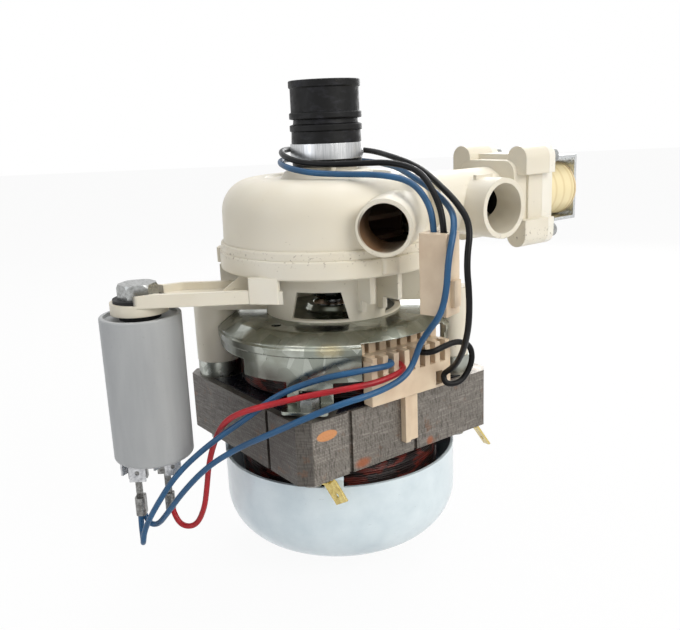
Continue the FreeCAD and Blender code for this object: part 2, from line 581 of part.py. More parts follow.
def boss(y, z, x0, x1):
    inward = -1 if z > 0 else 1
    barrel = xcyl(BOSS_R, x0, x1, VALVE_Y + y, VALVE_Z + z)
    low, high = sorted((VALVE_Z + z, VALVE_Z + z + inward * 6.0))
    return barrel.fuse(box(x0, x1, VALVE_Y + y - BOSS_R, VALVE_Y + y + BOSS_R, low, high))


valve_corners = [(sy * VALVE_PITCH, sz * VALVE_PITCH) for sy in (-1, 1) for sz in (-1, 1)]
valve_solids = [branch, chamber, flange] + [boss(y, z, VALVE_FACE, VALVE_SPLIT) for y, z in valve_corners]
valve_solids.append(box(BRANCH_X - 4.5, BRANCH_X + 4.5, -42.6, -41.2, BRANCH_Z + BRANCH_R - 1.0, BRANCH_Z + BRANCH_R + 0.9))
collar = ycyl(BRANCH_R + 1.0, -41.0, -39.4, BRANCH_X, BRANCH_Z)
valve_solids.append(collar.common(box(BRANCH_X - 20.0, BRANCH_X - 5.0, -45.0, -30.0, BRANCH_Z - 4.0, BRANCH_Z + 9.0)))
tee = run_pipe.fuse(valve_solids)
tee_bores = [
    xcyl(VALVE_BORE, 24.0, VALVE_FACE + 6.5, VALVE_Y, VALVE_Z),
    ycyl(VALVE_BORE, BRANCH_Y - 1.0, VALVE_Y, BRANCH_X, BRANCH_Z),
    xcyl(CHAMBER_R, VALVE_FACE + 6.0, VALVE_SPLIT + 1.0, VALVE_Y, VALVE_Z)]
SCREW_PILOT_R = 1.5
for y, z in valve_corners:
    tee_bores.append(xcyl(SCREW_PILOT_R, VALVE_FACE + 4.0, VALVE_SPLIT + 1.0, VALVE_Y + y, VALVE_Z + z))

# The spiral inside the drum grows clockwise, seen from above, from the tongue to the delivery pipe
TONGUE_R = IMPELLER_R + 2.4
SPIRAL_R = DRUM_R - WALL
SPIRAL_START = -72.0
spiral_points = []
for i in range(33):
    angle = math.radians(SPIRAL_START - i * 10.0)
    radius = TONGUE_R + (SPIRAL_R - TONGUE_R) * i / 32.0
    spiral_points.append(V(radius * math.cos(angle), radius * math.sin(angle), FLANGE_TOP - 1.0))
spiral = Part.BSplineCurve()
spiral.interpolate(spiral_points)
closing = Part.makeLine(spiral_points[-1], spiral_points[0])
CEILING = DRUM_TOP - WALL - 1.0
spiral_face = Part.Face(Part.Wire([spiral.toShape(), closing]))
channel = spiral_face.extrude(V(0, 0, CEILING - FLANGE_TOP + 1.0))
channel = channel.common(turned([
    (0.0, FLANGE_TOP - 1.0, 0.0), (SPIRAL_R, FLANGE_TOP - 1.0, 0.0), (SPIRAL_R, CEILING, DRUM_ROUND - WALL),
    (0.0, CEILING, 0.0)]))
THROAT_R = EYE_BORE + SHROUD_T + AIR
throat = tube(THROAT_R + 2.0, THROAT_R, vane_z1 + 2.4, CEILING + 1.0)
channel = channel.cut(throat)
housing = drum.fuse([delivery, turn(tee)])
housing = housing.cut([channel, delivery_bore, cyl(NECK_BORE, CEILING - 1.0, NECK_TOP + 1.0)] + [turn(b) for b in tee_bores])
STOP_W = 1.7
housing = housing.fuse(box(1.4, 1.4 + STOP_W, -15.9, -15.9 + STOP_W, DRUM_TOP + 1.0, DRUM_TOP + 4.6))
save("volute_housing", housing.removeSplitter())

# Valve bonnet with its guide tube
TUBE_WALL = 0.75
BONNET_BORE = PLUNGER_R + FACE_GAP
bonnet = lie_along_x(rounded_box(-VALVE_HALF, VALVE_HALF, -VALVE_HALF, VALVE_HALF, VALVE_SPLIT, VALVE_BACK - 3.0, 5.0),
                     0, VALVE_Y, VALVE_Z)
bonnet = bonnet.fuse([xcyl(12.6, VALVE_SPLIT + 1.0, VALVE_BACK, VALVE_Y, VALVE_Z)]
                     + [boss(y, z, VALVE_SPLIT, VALVE_SPLIT + 3.4) for y, z in valve_corners])
bonnet = bonnet.cut([xcyl(CHAMBER_R, VALVE_SPLIT - 1.0, VALVE_SPLIT + 3.0, VALVE_Y, VALVE_Z),
                     xcyl(TUBE_R, VALVE_SPLIT - 1.0, VALVE_BACK + 1.0, VALVE_Y, VALVE_Z)]
                    + [xcyl(SCREW_PILOT_R + 0.2, VALVE_SPLIT - 1.0, VALVE_BACK, VALVE_Y + y, VALVE_Z + z) for y, z in valve_corners])
save("valve_bonnet", turn(bonnet.removeSplitter()))

TUBE_END = 99.4
guide_tube = xcyl(TUBE_R, VALVE_SPLIT + 2.0, TUBE_END, VALVE_Y, VALVE_Z)
guide_tube = guide_tube.cut(xcyl(BONNET_BORE, VALVE_SPLIT + 1.0, TUBE_END - 1.0, VALVE_Y, VALVE_Z))
save("guide_tube", turn(guide_tube))

valve_screws = []
for y, z in valve_corners:
    seat_x = VALVE_BACK - 3.0
    screw = xcyl(SCREW_PILOT_R, VALVE_FACE + 5.0, seat_x, VALVE_Y + y, VALVE_Z + z)
    valve_screws.append(screw.fuse(xcyl(2.8, seat_x, seat_x + 2.0, VALVE_Y + y, VALVE_Z + z)))
save("valve_screws", turn(Part.makeCompound(valve_screws)))

# Plunger with its rubber head; the spring is drawn at its pressed length
HEAD_X = VALVE_FACE + 6.0 + FACE_GAP
plunger = xcyl(PLUNGER_R, HEAD_X + 7.0, 90.0, VALVE_Y, VALVE_Z)
plunger = plunger.fuse(xcyl(2.6, HEAD_X + 3.0, HEAD_X + 8.0, VALVE_Y, VALVE_Z))
SPRING_R = 2.5
SPRING_WIRE = 0.8
SPRING_X0 = 84.0 + PLUNGER_STROKE + 0.3
plunger = plunger.cut(xcyl(SPRING_R + 0.7, 84.0, 91.0, VALVE_Y, VALVE_Z))
save("plunger", turn(plunger))
valve_head = xcyl(CHAMBER_R - 1.0, HEAD_X, HEAD_X + 3.4, VALVE_Y, VALVE_Z)
valve_head = valve_head.cut(xcyl(2.6, HEAD_X + 3.0, HEAD_X + 4.0, VALVE_Y, VALVE_Z))
save("valve_head", turn(valve_head))
SPRING_TURNS = 4
spring_height = TUBE_END - 1.0 - SPRING_X0 - SPRING_WIRE
helix = Part.makeHelix(spring_height / SPRING_TURNS, spring_height, SPRING_R)
corners = []
for i in range(9):
    angle = math.radians(45.0 * i)
    corners.append(V(SPRING_R + SPRING_WIRE / 2.0 * math.cos(angle), 0, SPRING_WIRE / 2.0 * math.sin(angle)))
spring_section = Part.makePolygon(corners)
spring = Part.Wire(helix).makePipeShell([spring_section], True, True)
save("plunger_spring", turn(lie_along_x(spring, SPRING_X0 + SPRING_WIRE / 2.0, VALVE_Y, VALVE_Z)))

# Coil: bobbin, taped winding, blades at the back, steel yoke
YOKE_T = 1.3
YOKE_X0 = VALVE_BACK
YOKE_X1 = 98.8
YOKE_HALF_Y = 10.0
YOKE_TOP = VALVE_Z + 14.0
YOKE_LOW = VALVE_Z - 12.6
BOBBIN_X0 = YOKE_X0 + YOKE_T
BOBBIN_X1 = YOKE_X1 - YOKE_T
bobbin = xcyl(5.9, BOBBIN_X0, BOBBIN_X1, VALVE_Y, VALVE_Z)
for x0, x1 in ((BOBBIN_X0, COIL_X0), (COIL_X1, BOBBIN_X1)):
    bobbin = bobbin.fuse(xcyl(COIL_R + 0.2, x0, x1, VALVE_Y, VALVE_Z))
bobbin = bobbin.fuse(box(BOBBIN_X0 + 1.0, BOBBIN_X1 - 1.0, VALVE_Y + COIL_R, VALVE_Y + COIL_R + 3.0, VALVE_Z - 6.0, VALVE_Z + 6.0))
bobbin = bobbin.cut([xcyl(TUBE_R, BOBBIN_X0 - 1.0, BOBBIN_X1 + 1.0, VALVE_Y, VALVE_Z)])
winding = xcyl(COIL_R, COIL_X0, COIL_X1, VALVE_Y, VALVE_Z).cut(xcyl(5.9, COIL_X0 - 1.0, COIL_X1 + 1.0, VALVE_Y, VALVE_Z))
save("coil_winding", turn(winding))
yoke = box(YOKE_X0, YOKE_X1, VALVE_Y - YOKE_HALF_Y, VALVE_Y + YOKE_HALF_Y, YOKE_LOW, YOKE_TOP)
yoke = yoke.cut([box(BOBBIN_X0, BOBBIN_X1, -80.0, 20.0, YOKE_LOW + YOKE_T, YOKE_TOP - YOKE_T),
                 xcyl(TUBE_R, YOKE_X0 - 1.0, YOKE_X1 + 1.0, VALVE_Y, VALVE_Z)])
yoke = yoke.fuse(box(YOKE_X0 - 3.4, YOKE_X0 + 1.0, VALVE_Y - YOKE_HALF_Y, VALVE_Y + YOKE_HALF_Y, YOKE_TOP - YOKE_T, YOKE_TOP))
save("coil_yoke", turn(yoke.cut(bonnet)))
BLADE_OUT = 8.0
coil_blades = []
blade_y = VALVE_Y + COIL_R + 2.0
for x in (BOBBIN_X0 + 4.6, BOBBIN_X1 - 4.6):
    coil_blades.append(box(x - TAB_T / 2.0, x + TAB_T / 2.0, blade_y, blade_y + BLADE_OUT + 1.0, VALVE_Z - TAB_W / 2.0, VALVE_Z + TAB_W / 2.0))
save("coil_blades", turn(Part.makeCompound(coil_blades)))
save("coil_bobbin", turn(bobbin.cut([winding] + coil_blades)))

# Rubber inlet hose and its clamp band
hose = turned([
    (HOSE_R + 0.2, HOSE_FOOT_Z, 0.5), (HOSE_R + 0.2, 165.0, 0.0),
    (HOSE_R, 168.6, 0.0), (HOSE_R + 0.6, 168.9, 0.3), (HOSE_R + 0.6, 171.0, 0.4), (HOSE_R - 0.7, 171.4, 0.0),
    (HOSE_R - 0.9, 173.0, 0.0), (HOSE_R + 0.6, 173.3, 0.4), (HOSE_R + 0.6, 175.4, 0.3), (HOSE_R - 0.1, 175.8, 0.0),
    (HOSE_R - 0.1, 184.4, 0.0), (HOSE_R + 0.4, 184.8, 0.3), (HOSE_R + 0.4, HOSE_TOP_Z, 0.5),
    (HOSE_BORE, HOSE_TOP_Z, 0.4), (HOSE_BORE, NECK_TOP, 0.0), (NECK_R, NECK_TOP, 0.0), (NECK_R, HOSE_FOOT_Z, 0.0)])
save("inlet_hose", hose)
CLAMP_Z0 = 158.4
CLAMP_Z1 = 164.2
CLAMP_T = 0.6
clamp = tube(HOSE_R + 0.2 + CLAMP_T, HOSE_R + 0.2, CLAMP_Z0, CLAMP_Z1)
clamp_ear = rounded_box(HOSE_R + 0.4, HOSE_R + 3.2, -2.0, 2.0, CLAMP_Z0, CLAMP_Z1, 0.5)
clamp_ear = clamp_ear.cut(box(HOSE_R + 1.2, HOSE_R + 2.4, -1.3, 1.3, CLAMP_Z0 - 1.0, CLAMP_Z1 + 1.0))
clamp = clamp.fuse(turn(clamp_ear, 100.0))
save("hose_clamp", clamp)

# Run capacitor hung from the eye of the arm
can = turned([
    (0.0, CAN_Z1 - 1.4, 0.0), (CAN_R - 1.6, CAN_Z1 - 1.4, 0.0), (CAN_R - 1.6, CAN_Z1, 0.0), (CAN_R, CAN_Z1, 0.6),
    (CAN_R, CAN_Z0, 1.4), (CAN_R - 1.2, CAN_Z0, 0.0), (CAN_R - 1.2, CAN_Z1 - 3.4, 0.0), (7.0, CAN_Z1 - 3.4, 0.0),
    (7.0, CAN_Z1 - 11.0, 0.0), (0.0, CAN_Z1 - 11.0, 0.0)])
can = can.cut(cyl(BOLT_R, CAN_Z1 - 9.0, CAN_Z1 + 1.0))
LID_Z1 = CAN_Z0 + 3.2
can.translate(V(CAP_X, CAP_Y, 0))
save("capacitor_can", can)
BLADE_FOOT = LID_Z1 - 1.0
blade_plan = [
    (-6.4, -4.4, 0.0, 41.0), (-11.0, -1.0, 62.0, 43.4), (-7.6, 2.2, 0.0, 43.0),
    (6.9, -2.0, 0.0, 42.0), (1.4, -0.4, 62.0, 44.6), (4.4, 4.6, 0.0, 43.4)]
blades = []
for x, y, angle, low in blade_plan:
    blade = box(-TAB_W / 2.0, TAB_W / 2.0, -TAB_T / 2.0, TAB_T / 2.0, low, BLADE_FOOT)
    blade = blade.cut(Part.makeCylinder(0.9, 4.0, V(0, -2.0, low + 3.6), V(0, 1, 0)))
    blade = turn(blade, angle)
    blade.translate(V(CAP_X + x, CAP_Y + y, 0))
    blades.append(blade)
save("capacitor_blades", Part.makeCompound(blades))
lid = cyl(CAN_R - 1.2, CAN_Z0 + 1.2, LID_Z1, CAP_X, CAP_Y).cut(blades)
save("capacitor_lid", lid)
film_roll = tube(CAN_R - 1.8, 2.5, LID_Z1 + 1.0, CAN_Z1 - 12.0, CAP_X, CAP_Y)
save("capacitor_film", film_roll)
pad = tube(7.6, BOLT_R, CAN_Z1 - 1.4, EYE_Z0, CAP_X, CAP_Y)
save("capacitor_pad", pad)
WASHER_TOP = EYE_Z1 + 1.2
bolt_washer = tube(9.4, BOLT_R, EYE_Z1, WASHER_TOP, CAP_X, CAP_Y)
save("bolt_washer", bolt_washer)
bolt_head = hexagon(BOLT_AF, WASHER_TOP, WASHER_TOP + BOLT_HEAD_H, CAP_X, CAP_Y)
bolt_head = bolt_head.common(Part.makeCone(BOLT_AF * 0.72, BOLT_AF * 0.53, BOLT_HEAD_H, V(CAP_X, CAP_Y, WASHER_TOP), UP))
bolt = cyl(BOLT_R, CAN_Z1 - 8.0, WASHER_TOP + 0.5, CAP_X, CAP_Y).fuse(bolt_head)
save("capacitor_bolt", bolt.removeSplitter())

# Terminal block hooked on the face of the core, in the turned frame
BLOCK_FRONT = -46.0
BLOCK_BACK = -41.2
BLOCK_X0 = -18.2
BLOCK_X1 = 20.0
BLOCK_Z0 = 73.6
BLOCK_Z1 = 89.6
DECK_BACK = -35.4
DECK_LOW = 89.0
PRONG_TOP = 95.4
CHANNELS = 7
CHANNEL_W = 2.7
PITCH = (BLOCK_X1 - BLOCK_X0 - 3.0) / CHANNELS
STEM_X = 1.5
STEM_W = 6.8
STEM_Z0 = 55.0
block = box(BLOCK_X0, BLOCK_X1, BLOCK_FRONT, BLOCK_BACK, BLOCK_Z0, BLOCK_Z1)
block = block.fuse(box(BLOCK_X0 + 1.0, BLOCK_X1 - 1.0, BLOCK_BACK - 0.5, DECK_BACK, DECK_LOW, DECK_LOW + 2.0))
block = block.fuse(box(STEM_X - STEM_W / 2.0, STEM_X + STEM_W / 2.0, -CORE_Y - 1.6, -CORE_Y, STEM_Z0, BLOCK_Z0 + 1.0))
block = block.fuse(box(STEM_X - STEM_W / 2.0, STEM_X - STEM_W / 2.0 + 2.4, -CORE_Y - 2.6, -CORE_Y, STEM_Z0, BLOCK_Z0 + 1.0))
channel_x = [BLOCK_X0 + 1.5 + PITCH * (i + 0.5) for i in range(CHANNELS)]
for i in range(CHANNELS + 1):
    x = BLOCK_X0 + 1.5 + PITCH * i
    half = (PITCH - CHANNEL_W) / 2.0
    left = max(x - half, BLOCK_X0 + 0.6)
    right = min(x + half, BLOCK_X1 - 0.6)
    block = block.fuse(box(left, right, BLOCK_FRONT, BLOCK_BACK, BLOCK_Z1 - 1.0, BLOCK_Z1 + 1.6))
    prong = plate([(left - 0.4, -38.6, 0.0), (right + 0.4, -38.6, 0.0), (right + 0.4, DECK_BACK, 0.6), (left - 0.4, DECK_BACK, 0.6)],
                  DECK_LOW + 1.0, PRONG_TOP)
    block = block.fuse(prong)
for x in channel_x:
    block = block.cut(box(x - CHANNEL_W / 2.0, x + CHANNEL_W / 2.0, BLOCK_FRONT - 1.0, -42.6, BLOCK_Z1 - 6.4, BLOCK_Z1 + 3.0))
HOOK_X = 14.2
HOOK_Z = 77.2
block = block.cut(box(HOOK_X - 1.6, HOOK_X + 1.6, BLOCK_FRONT - 1.0, BLOCK_BACK + 1.0, HOOK_Z - 2.6, HOOK_Z + 2.6))
contacts = []
for x in channel_x:
    strip = box(x - 1.2, x + 1.2, -42.6, -42.1, BLOCK_Z1 - 8.0, BLOCK_Z1 + 0.6)
    contacts.append(strip.cut(box(x - 0.5, x + 0.5, -44.0, -41.0, BLOCK_Z1 - 3.0, BLOCK_Z1 + 2.0)))
save("terminal_contacts", turn(Part.makeCompound(contacts)))
save("terminal_block", turn(block.cut(contacts).removeSplitter()))


def blade_along(start, along, across, length):
    # a flat blade from start, its width centred on the line, with the usual small hole
    along = V(along).normalize()
    across = V(across) - along * along.dot(V(across))
    across.normalize()
    blade = box(0.0, length, -TAB_W / 2.0, TAB_W / 2.0, -TAB_T / 2.0, TAB_T / 2.0)
    blade = blade.cut(cyl(0.9, -2.0, 2.0, length - 3.2, 0.0))
    turned_blade = blade.copy()
    turned_blade.Placement = FreeCAD.Placement(start, FreeCAD.Rotation(along, across, along.cross(across), "XYZ"))
    return turned_blade


# Brass earth blades clamped under two of the bell's screws
EARTH_LEN = 9.6
earth_foot = rounded_box(-4.0, 8.6, -3.4, 3.4, EAR_Z0 - TAB_T, EAR_Z0, 1.0)
earth_blades = []
for sx, bearing, start, along, across in (
        (-SCREW_X, -33.0, V(-4.6, -50.6, EAR_Z0 - 0.5), V(4.4, -1.9, -7.7), V(0.6, -0.6, 0.46)),
        (SCREW_X, -2.0, V(56.0, -5.2, EAR_Z0 - 0.5), V(4.7, -1.2, -7.4), V(0.2, -0.9, 0.2))):
    place = FreeCAD.Rotation(UP, CORE_TURN).multVec(V(sx, -SCREW_Y, 0))
    foot_plate = turn(earth_foot, bearing)
    foot_plate.translate(place)
    foot_plate = foot_plate.cut(cyl(SCREW_HOLE_R, EAR_Z0 - 2.0, EAR_Z0 + 1.0, place.x, place.y))
    earth_blades.append(foot_plate.fuse(blade_along(start, along, across, EARTH_LEN)).cut(lower_bell))
save("earth_blades", Part.makeCompound(earth_blades))

# Crimped receptacles on the capacitor's rear blades
receptacles = []
for x, y, top, wide in ((-79.3, -24.3, 45.4, 5.6), (-68.3, -22.3, 46.0, 3.4)):
    grip = rounded_box(x - 3.7, x + 3.7, y - 0.9, y + 2.1, top - 5.6, top, 0.4)
    grip = grip.cut(box(x - 3.3, x + 3.3, y + 0.1, y + 1.1, top - 6.0, top + 1.0))
    neck = box(x - 1.3, x + 1.3, y - 0.7, y - 0.1, 31.0, top - 5.2)
    barrel = rounded_box(x - 1.9, x + 1.9, y - wide / 2.0, y + wide / 2.0, 24.6, 32.0, 1.2)
    receptacles.append(grip.fuse([neck, barrel]))

# Plug housing on the loose pair of leads
PLUG_X = 35.9
PLUG_Y = -50.8
PLUG_TURN = -37.6
PLUG_Z0 = 107.6
PLUG_Z1 = 135.2
PLUG_W = 10.6
PLUG_D = 9.0
plug = rounded_box(-PLUG_W / 2.0, PLUG_W / 2.0, -PLUG_D / 2.0, PLUG_D / 2.0, PLUG_Z0, PLUG_Z1, 0.5)
plug = plug.fuse(box(PLUG_W / 2.0 - 0.2, PLUG_W / 2.0 + 1.6, -2.2, 2.2, PLUG_Z0 + 3.0, PLUG_Z0 + 12.0))
LEAD_STEP = 1.9
SOCKET_DEEP = 12.0
socket = box(-PLUG_W / 2.0 + 1.0, PLUG_W / 2.0 - 1.0, -2.6, 2.6, PLUG_Z0 - 1.0, PLUG_Z0 + SOCKET_DEEP)
plug = plug.cut([socket] + [cyl(WIRE_D / 2.0 + EASE, PLUG_Z0, PLUG_Z1 + 1.0, side * LEAD_STEP) for side in (-1, 1)])
plug = turn(plug, PLUG_TURN)
plug.translate(V(PLUG_X, PLUG_Y, 0))
save("plug_housing", plug)
pins = []
for side in (-1, 1):
    pin = cyl(1.0, PLUG_Z0 + 3.0, PLUG_Z0 + SOCKET_DEEP + 4.0, side * LEAD_STEP)
    pins.append(pin.fuse(cyl(WIRE_D / 2.0 + EASE, PLUG_Z0 + SOCKET_DEEP, PLUG_Z0 + SOCKET_DEEP + 4.0, side * LEAD_STEP)))
pins = turn(Part.makeCompound(pins), PLUG_TURN)
pins.translate(V(PLUG_X, PLUG_Y, 0))
save("plug_pins", pins)

# Wires: each route is a list of points chosen by hand, in millimetres
ROUTES = {
    "blue_jumper": [
        (17.6, -40.1, 88.2), (22.1, -46.1, 88.8), (9.6, -53.9, 89.4), (-5.5, -51.5, 86.5), (-21.0, -49.5, 80.6),
        (-32.0, -45.0, 71.0), (-47.4, -41.0, 59.8), (-61.5, -38.0, 46.8), (-71.5, -35.5, 31.8), (-77.2, -31.6, 21.2),
        (-78.9, -29.6, 13.9), (-79.7, -25.8, 13.6), (-80.0, -25.3, 20.3), (-79.5, -25.6, 26.6)],
    "red_jumper": [
        (21.8, -37.1, 86.4), (26.1, -43.1, 86.2), (15.7, -51.9, 84.6), (5.0, -54.8, 83.6), (-8.7, -54.2, 81.6),
        (-23.1, -52.3, 78.1), (-34.7, -48.0, 74.0), (-41.8, -42.0, 68.0), (-46.7, -34.5, 58.0), (-50.0, -32.0, 48.0),
        (-51.9, -30.0, 37.0), (-54.0, -28.0, 27.0), (-58.0, -26.8, 19.2), (-64.0, -25.4, 18.6), (-67.3, -23.6, 23.8),
        (-68.4, -22.4, 30.0)],
    "blue_lead": [
        (34.4, -49.64, 130.6), (34.4, -49.64, 139.8), (31.6, -46.6, 147.4), (27.0, -40.0, 152.0), (17.2, -34.8, 153.8),
        (5.0, -30.8, 154.0), (-6.0, -26.0, 154.6), (-13.9, -18.2, 156.0), (-17.8, -8.4, 157.4), (-17.9, 1.8, 158.2),
        (-14.4, 11.4, 158.0), (-6.6, 17.8, 157.4), (3.4, 19.2, 156.8), (12.6, 16.0, 156.2), (19.2, 8.4, 155.6),
        (23.2, -1.6, 155.0), (26.6, -12.6, 154.2), (30.2, -26.0, 151.8), (36.2, -37.6, 147.6), (40.8, -48.0, 142.2),
        (40.2, -56.4, 137.2), (37.4, -60.6, 128.0), (36.8, -60.6, 117.5), (35.2, -58.0, 108.8), (31.6, -52.0, 101.6),
        (29.2, -47.0, 95.6), (27.6, -45.8, 89.6), (24.2, -48.8, 85.2), (18.4, -53.0, 83.0), (10.2, -58.8, 82.0),
        (1.0, -61.2, 80.4), (-11.5, -62.0, 76.0), (-23.5, -56.8, 69.0), (-35.4, -48.5, 61.2), (-48.5, -42.4, 51.7),
        (-59.3, -38.6, 40.0), (-67.2, -33.6, 28.8), (-72.8, -28.4, 21.0), (-78.2, -23.0, 19.8), (-79.5, -22.9, 26.4)],
    "black_lead": [
        (37.4, -51.96, 130.6), (37.4, -51.96, 139.8), (34.8, -46.0, 148.6), (31.0, -38.0, 155.0), (22.0, -31.6, 157.6),
        (10.8, -28.0, 157.4), (-0.5, -24.8, 157.2), (-9.6, -19.6, 158.0), (-15.4, -11.6, 159.8), (-17.8, -2.0, 161.4),
        (-16.2, 7.8, 162.0), (-9.8, 16.0, 161.8), (-0.6, 19.6, 161.2), (9.0, 17.6, 160.8), (16.4, 11.4, 160.2),
        (20.8, 3.0, 159.4), (24.6, -7.0, 158.2), (29.4, -18.4, 156.6), (33.8, -30.4, 154.0), (37.4, -41.0, 150.0),
        (41.8, -50.0, 145.0), (45.4, -57.0, 138.0), (43.2, -60.6, 126.6), (44.2, -60.4, 115.8), (44.8, -56.6, 105.6),
        (44.8, -50.6, 97.4), (44.4, -44.5, 90.8), (43.4, -37.8, 85.0), (41.9, -32.9, 81.4), (39.6, -30.1, 78.8),
        (40.4, -32.0, 75.4), (46.1, -29.6, 74.9), (49.8, -27.6, 79.0), (51.4, -27.0, 84.0), (50.2, -27.4, 89.0),
        (45.6, -29.7, 91.4), (40.2, -32.6, 90.6), (33.8, -36.9, 89.0), (29.9, -31.3, 88.4)],
}


def wire_corners(points):
    corners = []
    for i, point in enumerate(points):
        here = V(*point)
        if i in (0, len(points) - 1):
            corners.append((here, 0.0))
            continue
        into = here - V(*points[i - 1])
        out = V(*points[i + 1]) - here
        half = into.getAngle(out) / 2.0
        corners.append((here, 0.45 * min(into.Length, out.Length) / math.tan(half)))
    return corners


wires = {}
for name, points in ROUTES.items():
    corners = wire_corners(points)
    path = rounded_wire(corners, closed=False)
    start = V(*points[0])
    section = Part.Wire([Part.Circle(start, V(*points[1]) - start, WIRE_D / 2.0).toShape()])
    wires[name] = path.makePipeShell([section], True, True)
    radii = [round(radius, 1) for _, radius in corners[1:-1]]
    length = path.Length
    share = wires[name].Volume / (math.pi * WIRE_D ** 2 / 4.0 * length)
    print(name, "length", round(length, 1), "volume share", round(share, 4), "radii", radii)
    save(name, wires[name])

save("crimp_receptacles", Part.makeCompound([r.cut(list(wires.values()) + blades) for r in receptacles]))
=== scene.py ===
# %% Load the frame
import math

import bpy
from mathutils import Matrix, Vector


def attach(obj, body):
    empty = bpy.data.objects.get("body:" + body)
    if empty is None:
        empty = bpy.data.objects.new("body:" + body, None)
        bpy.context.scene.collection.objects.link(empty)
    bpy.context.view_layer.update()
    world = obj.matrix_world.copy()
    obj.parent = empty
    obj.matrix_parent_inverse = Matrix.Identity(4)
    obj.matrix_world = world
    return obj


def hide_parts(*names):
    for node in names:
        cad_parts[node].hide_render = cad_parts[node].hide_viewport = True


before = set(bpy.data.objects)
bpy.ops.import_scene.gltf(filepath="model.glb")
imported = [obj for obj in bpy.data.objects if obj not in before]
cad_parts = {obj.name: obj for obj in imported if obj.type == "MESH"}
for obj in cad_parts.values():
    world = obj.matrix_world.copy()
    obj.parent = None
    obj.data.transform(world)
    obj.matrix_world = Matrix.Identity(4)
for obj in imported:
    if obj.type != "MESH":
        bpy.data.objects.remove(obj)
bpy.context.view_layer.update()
MM = 0.001
print("CAD pieces:", len(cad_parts))

# %% [markdown]
# The camera comes first, because every later choice is judged through it. It stands a little above
# the pump, looks slightly down, and is rolled by two degrees, as the hand-held photograph was.

# %% Camera
CAMERA_PLACE = Vector((0.0, -308.19, 172.95)) * MM
CAMERA_PITCH = math.radians(14.06)
CAMERA_PAN = math.radians(0.45)
CAMERA_ROLL = math.radians(-2.40)
LENS = 41.50

ahead = Vector((math.sin(CAMERA_PAN) * math.cos(CAMERA_PITCH),
                math.cos(CAMERA_PAN) * math.cos(CAMERA_PITCH),
                -math.sin(CAMERA_PITCH)))
level = Vector((math.cos(CAMERA_PAN), -math.sin(CAMERA_PAN), 0.0))
upward = level.cross(ahead)
right = math.cos(CAMERA_ROLL) * level + math.sin(CAMERA_ROLL) * upward
top = -math.sin(CAMERA_ROLL) * level + math.cos(CAMERA_ROLL) * upward

camera_data = bpy.data.cameras.new("photo_camera")
camera_data.lens = LENS
camera_data.sensor_width = 36.0
camera_data.clip_start = 0.01
camera = bpy.data.objects.new("photo_camera", camera_data)
bpy.context.scene.collection.objects.link(camera)
camera.matrix_world = Matrix.Translation(CAMERA_PLACE) @ Matrix((right, top, -ahead)).transposed().to_4x4()
bpy.context.scene.camera = camera
bpy.context.scene.view_settings.view_transform = "Standard"
print("camera at", [round(v, 3) for v in camera.location])

# %% [markdown]
# A material in Blender is a small network of nodes. One helper adds a node and sets its inputs, so
# that each finish below reads as a recipe. Colours are written as the hex numbers that a paint
# program shows, and one function turns them into the linear values that the renderer works in.


# %% Helpers for materials
def colour(hex_code):
    channels = [int(hex_code[i:i + 2], 16) / 255.0 for i in (1, 3, 5)]
    linear = [c / 12.92 if c <= 0.04045 else ((c + 0.055) / 1.055) ** 2.4 for c in channels]
    return (*linear, 1.0)


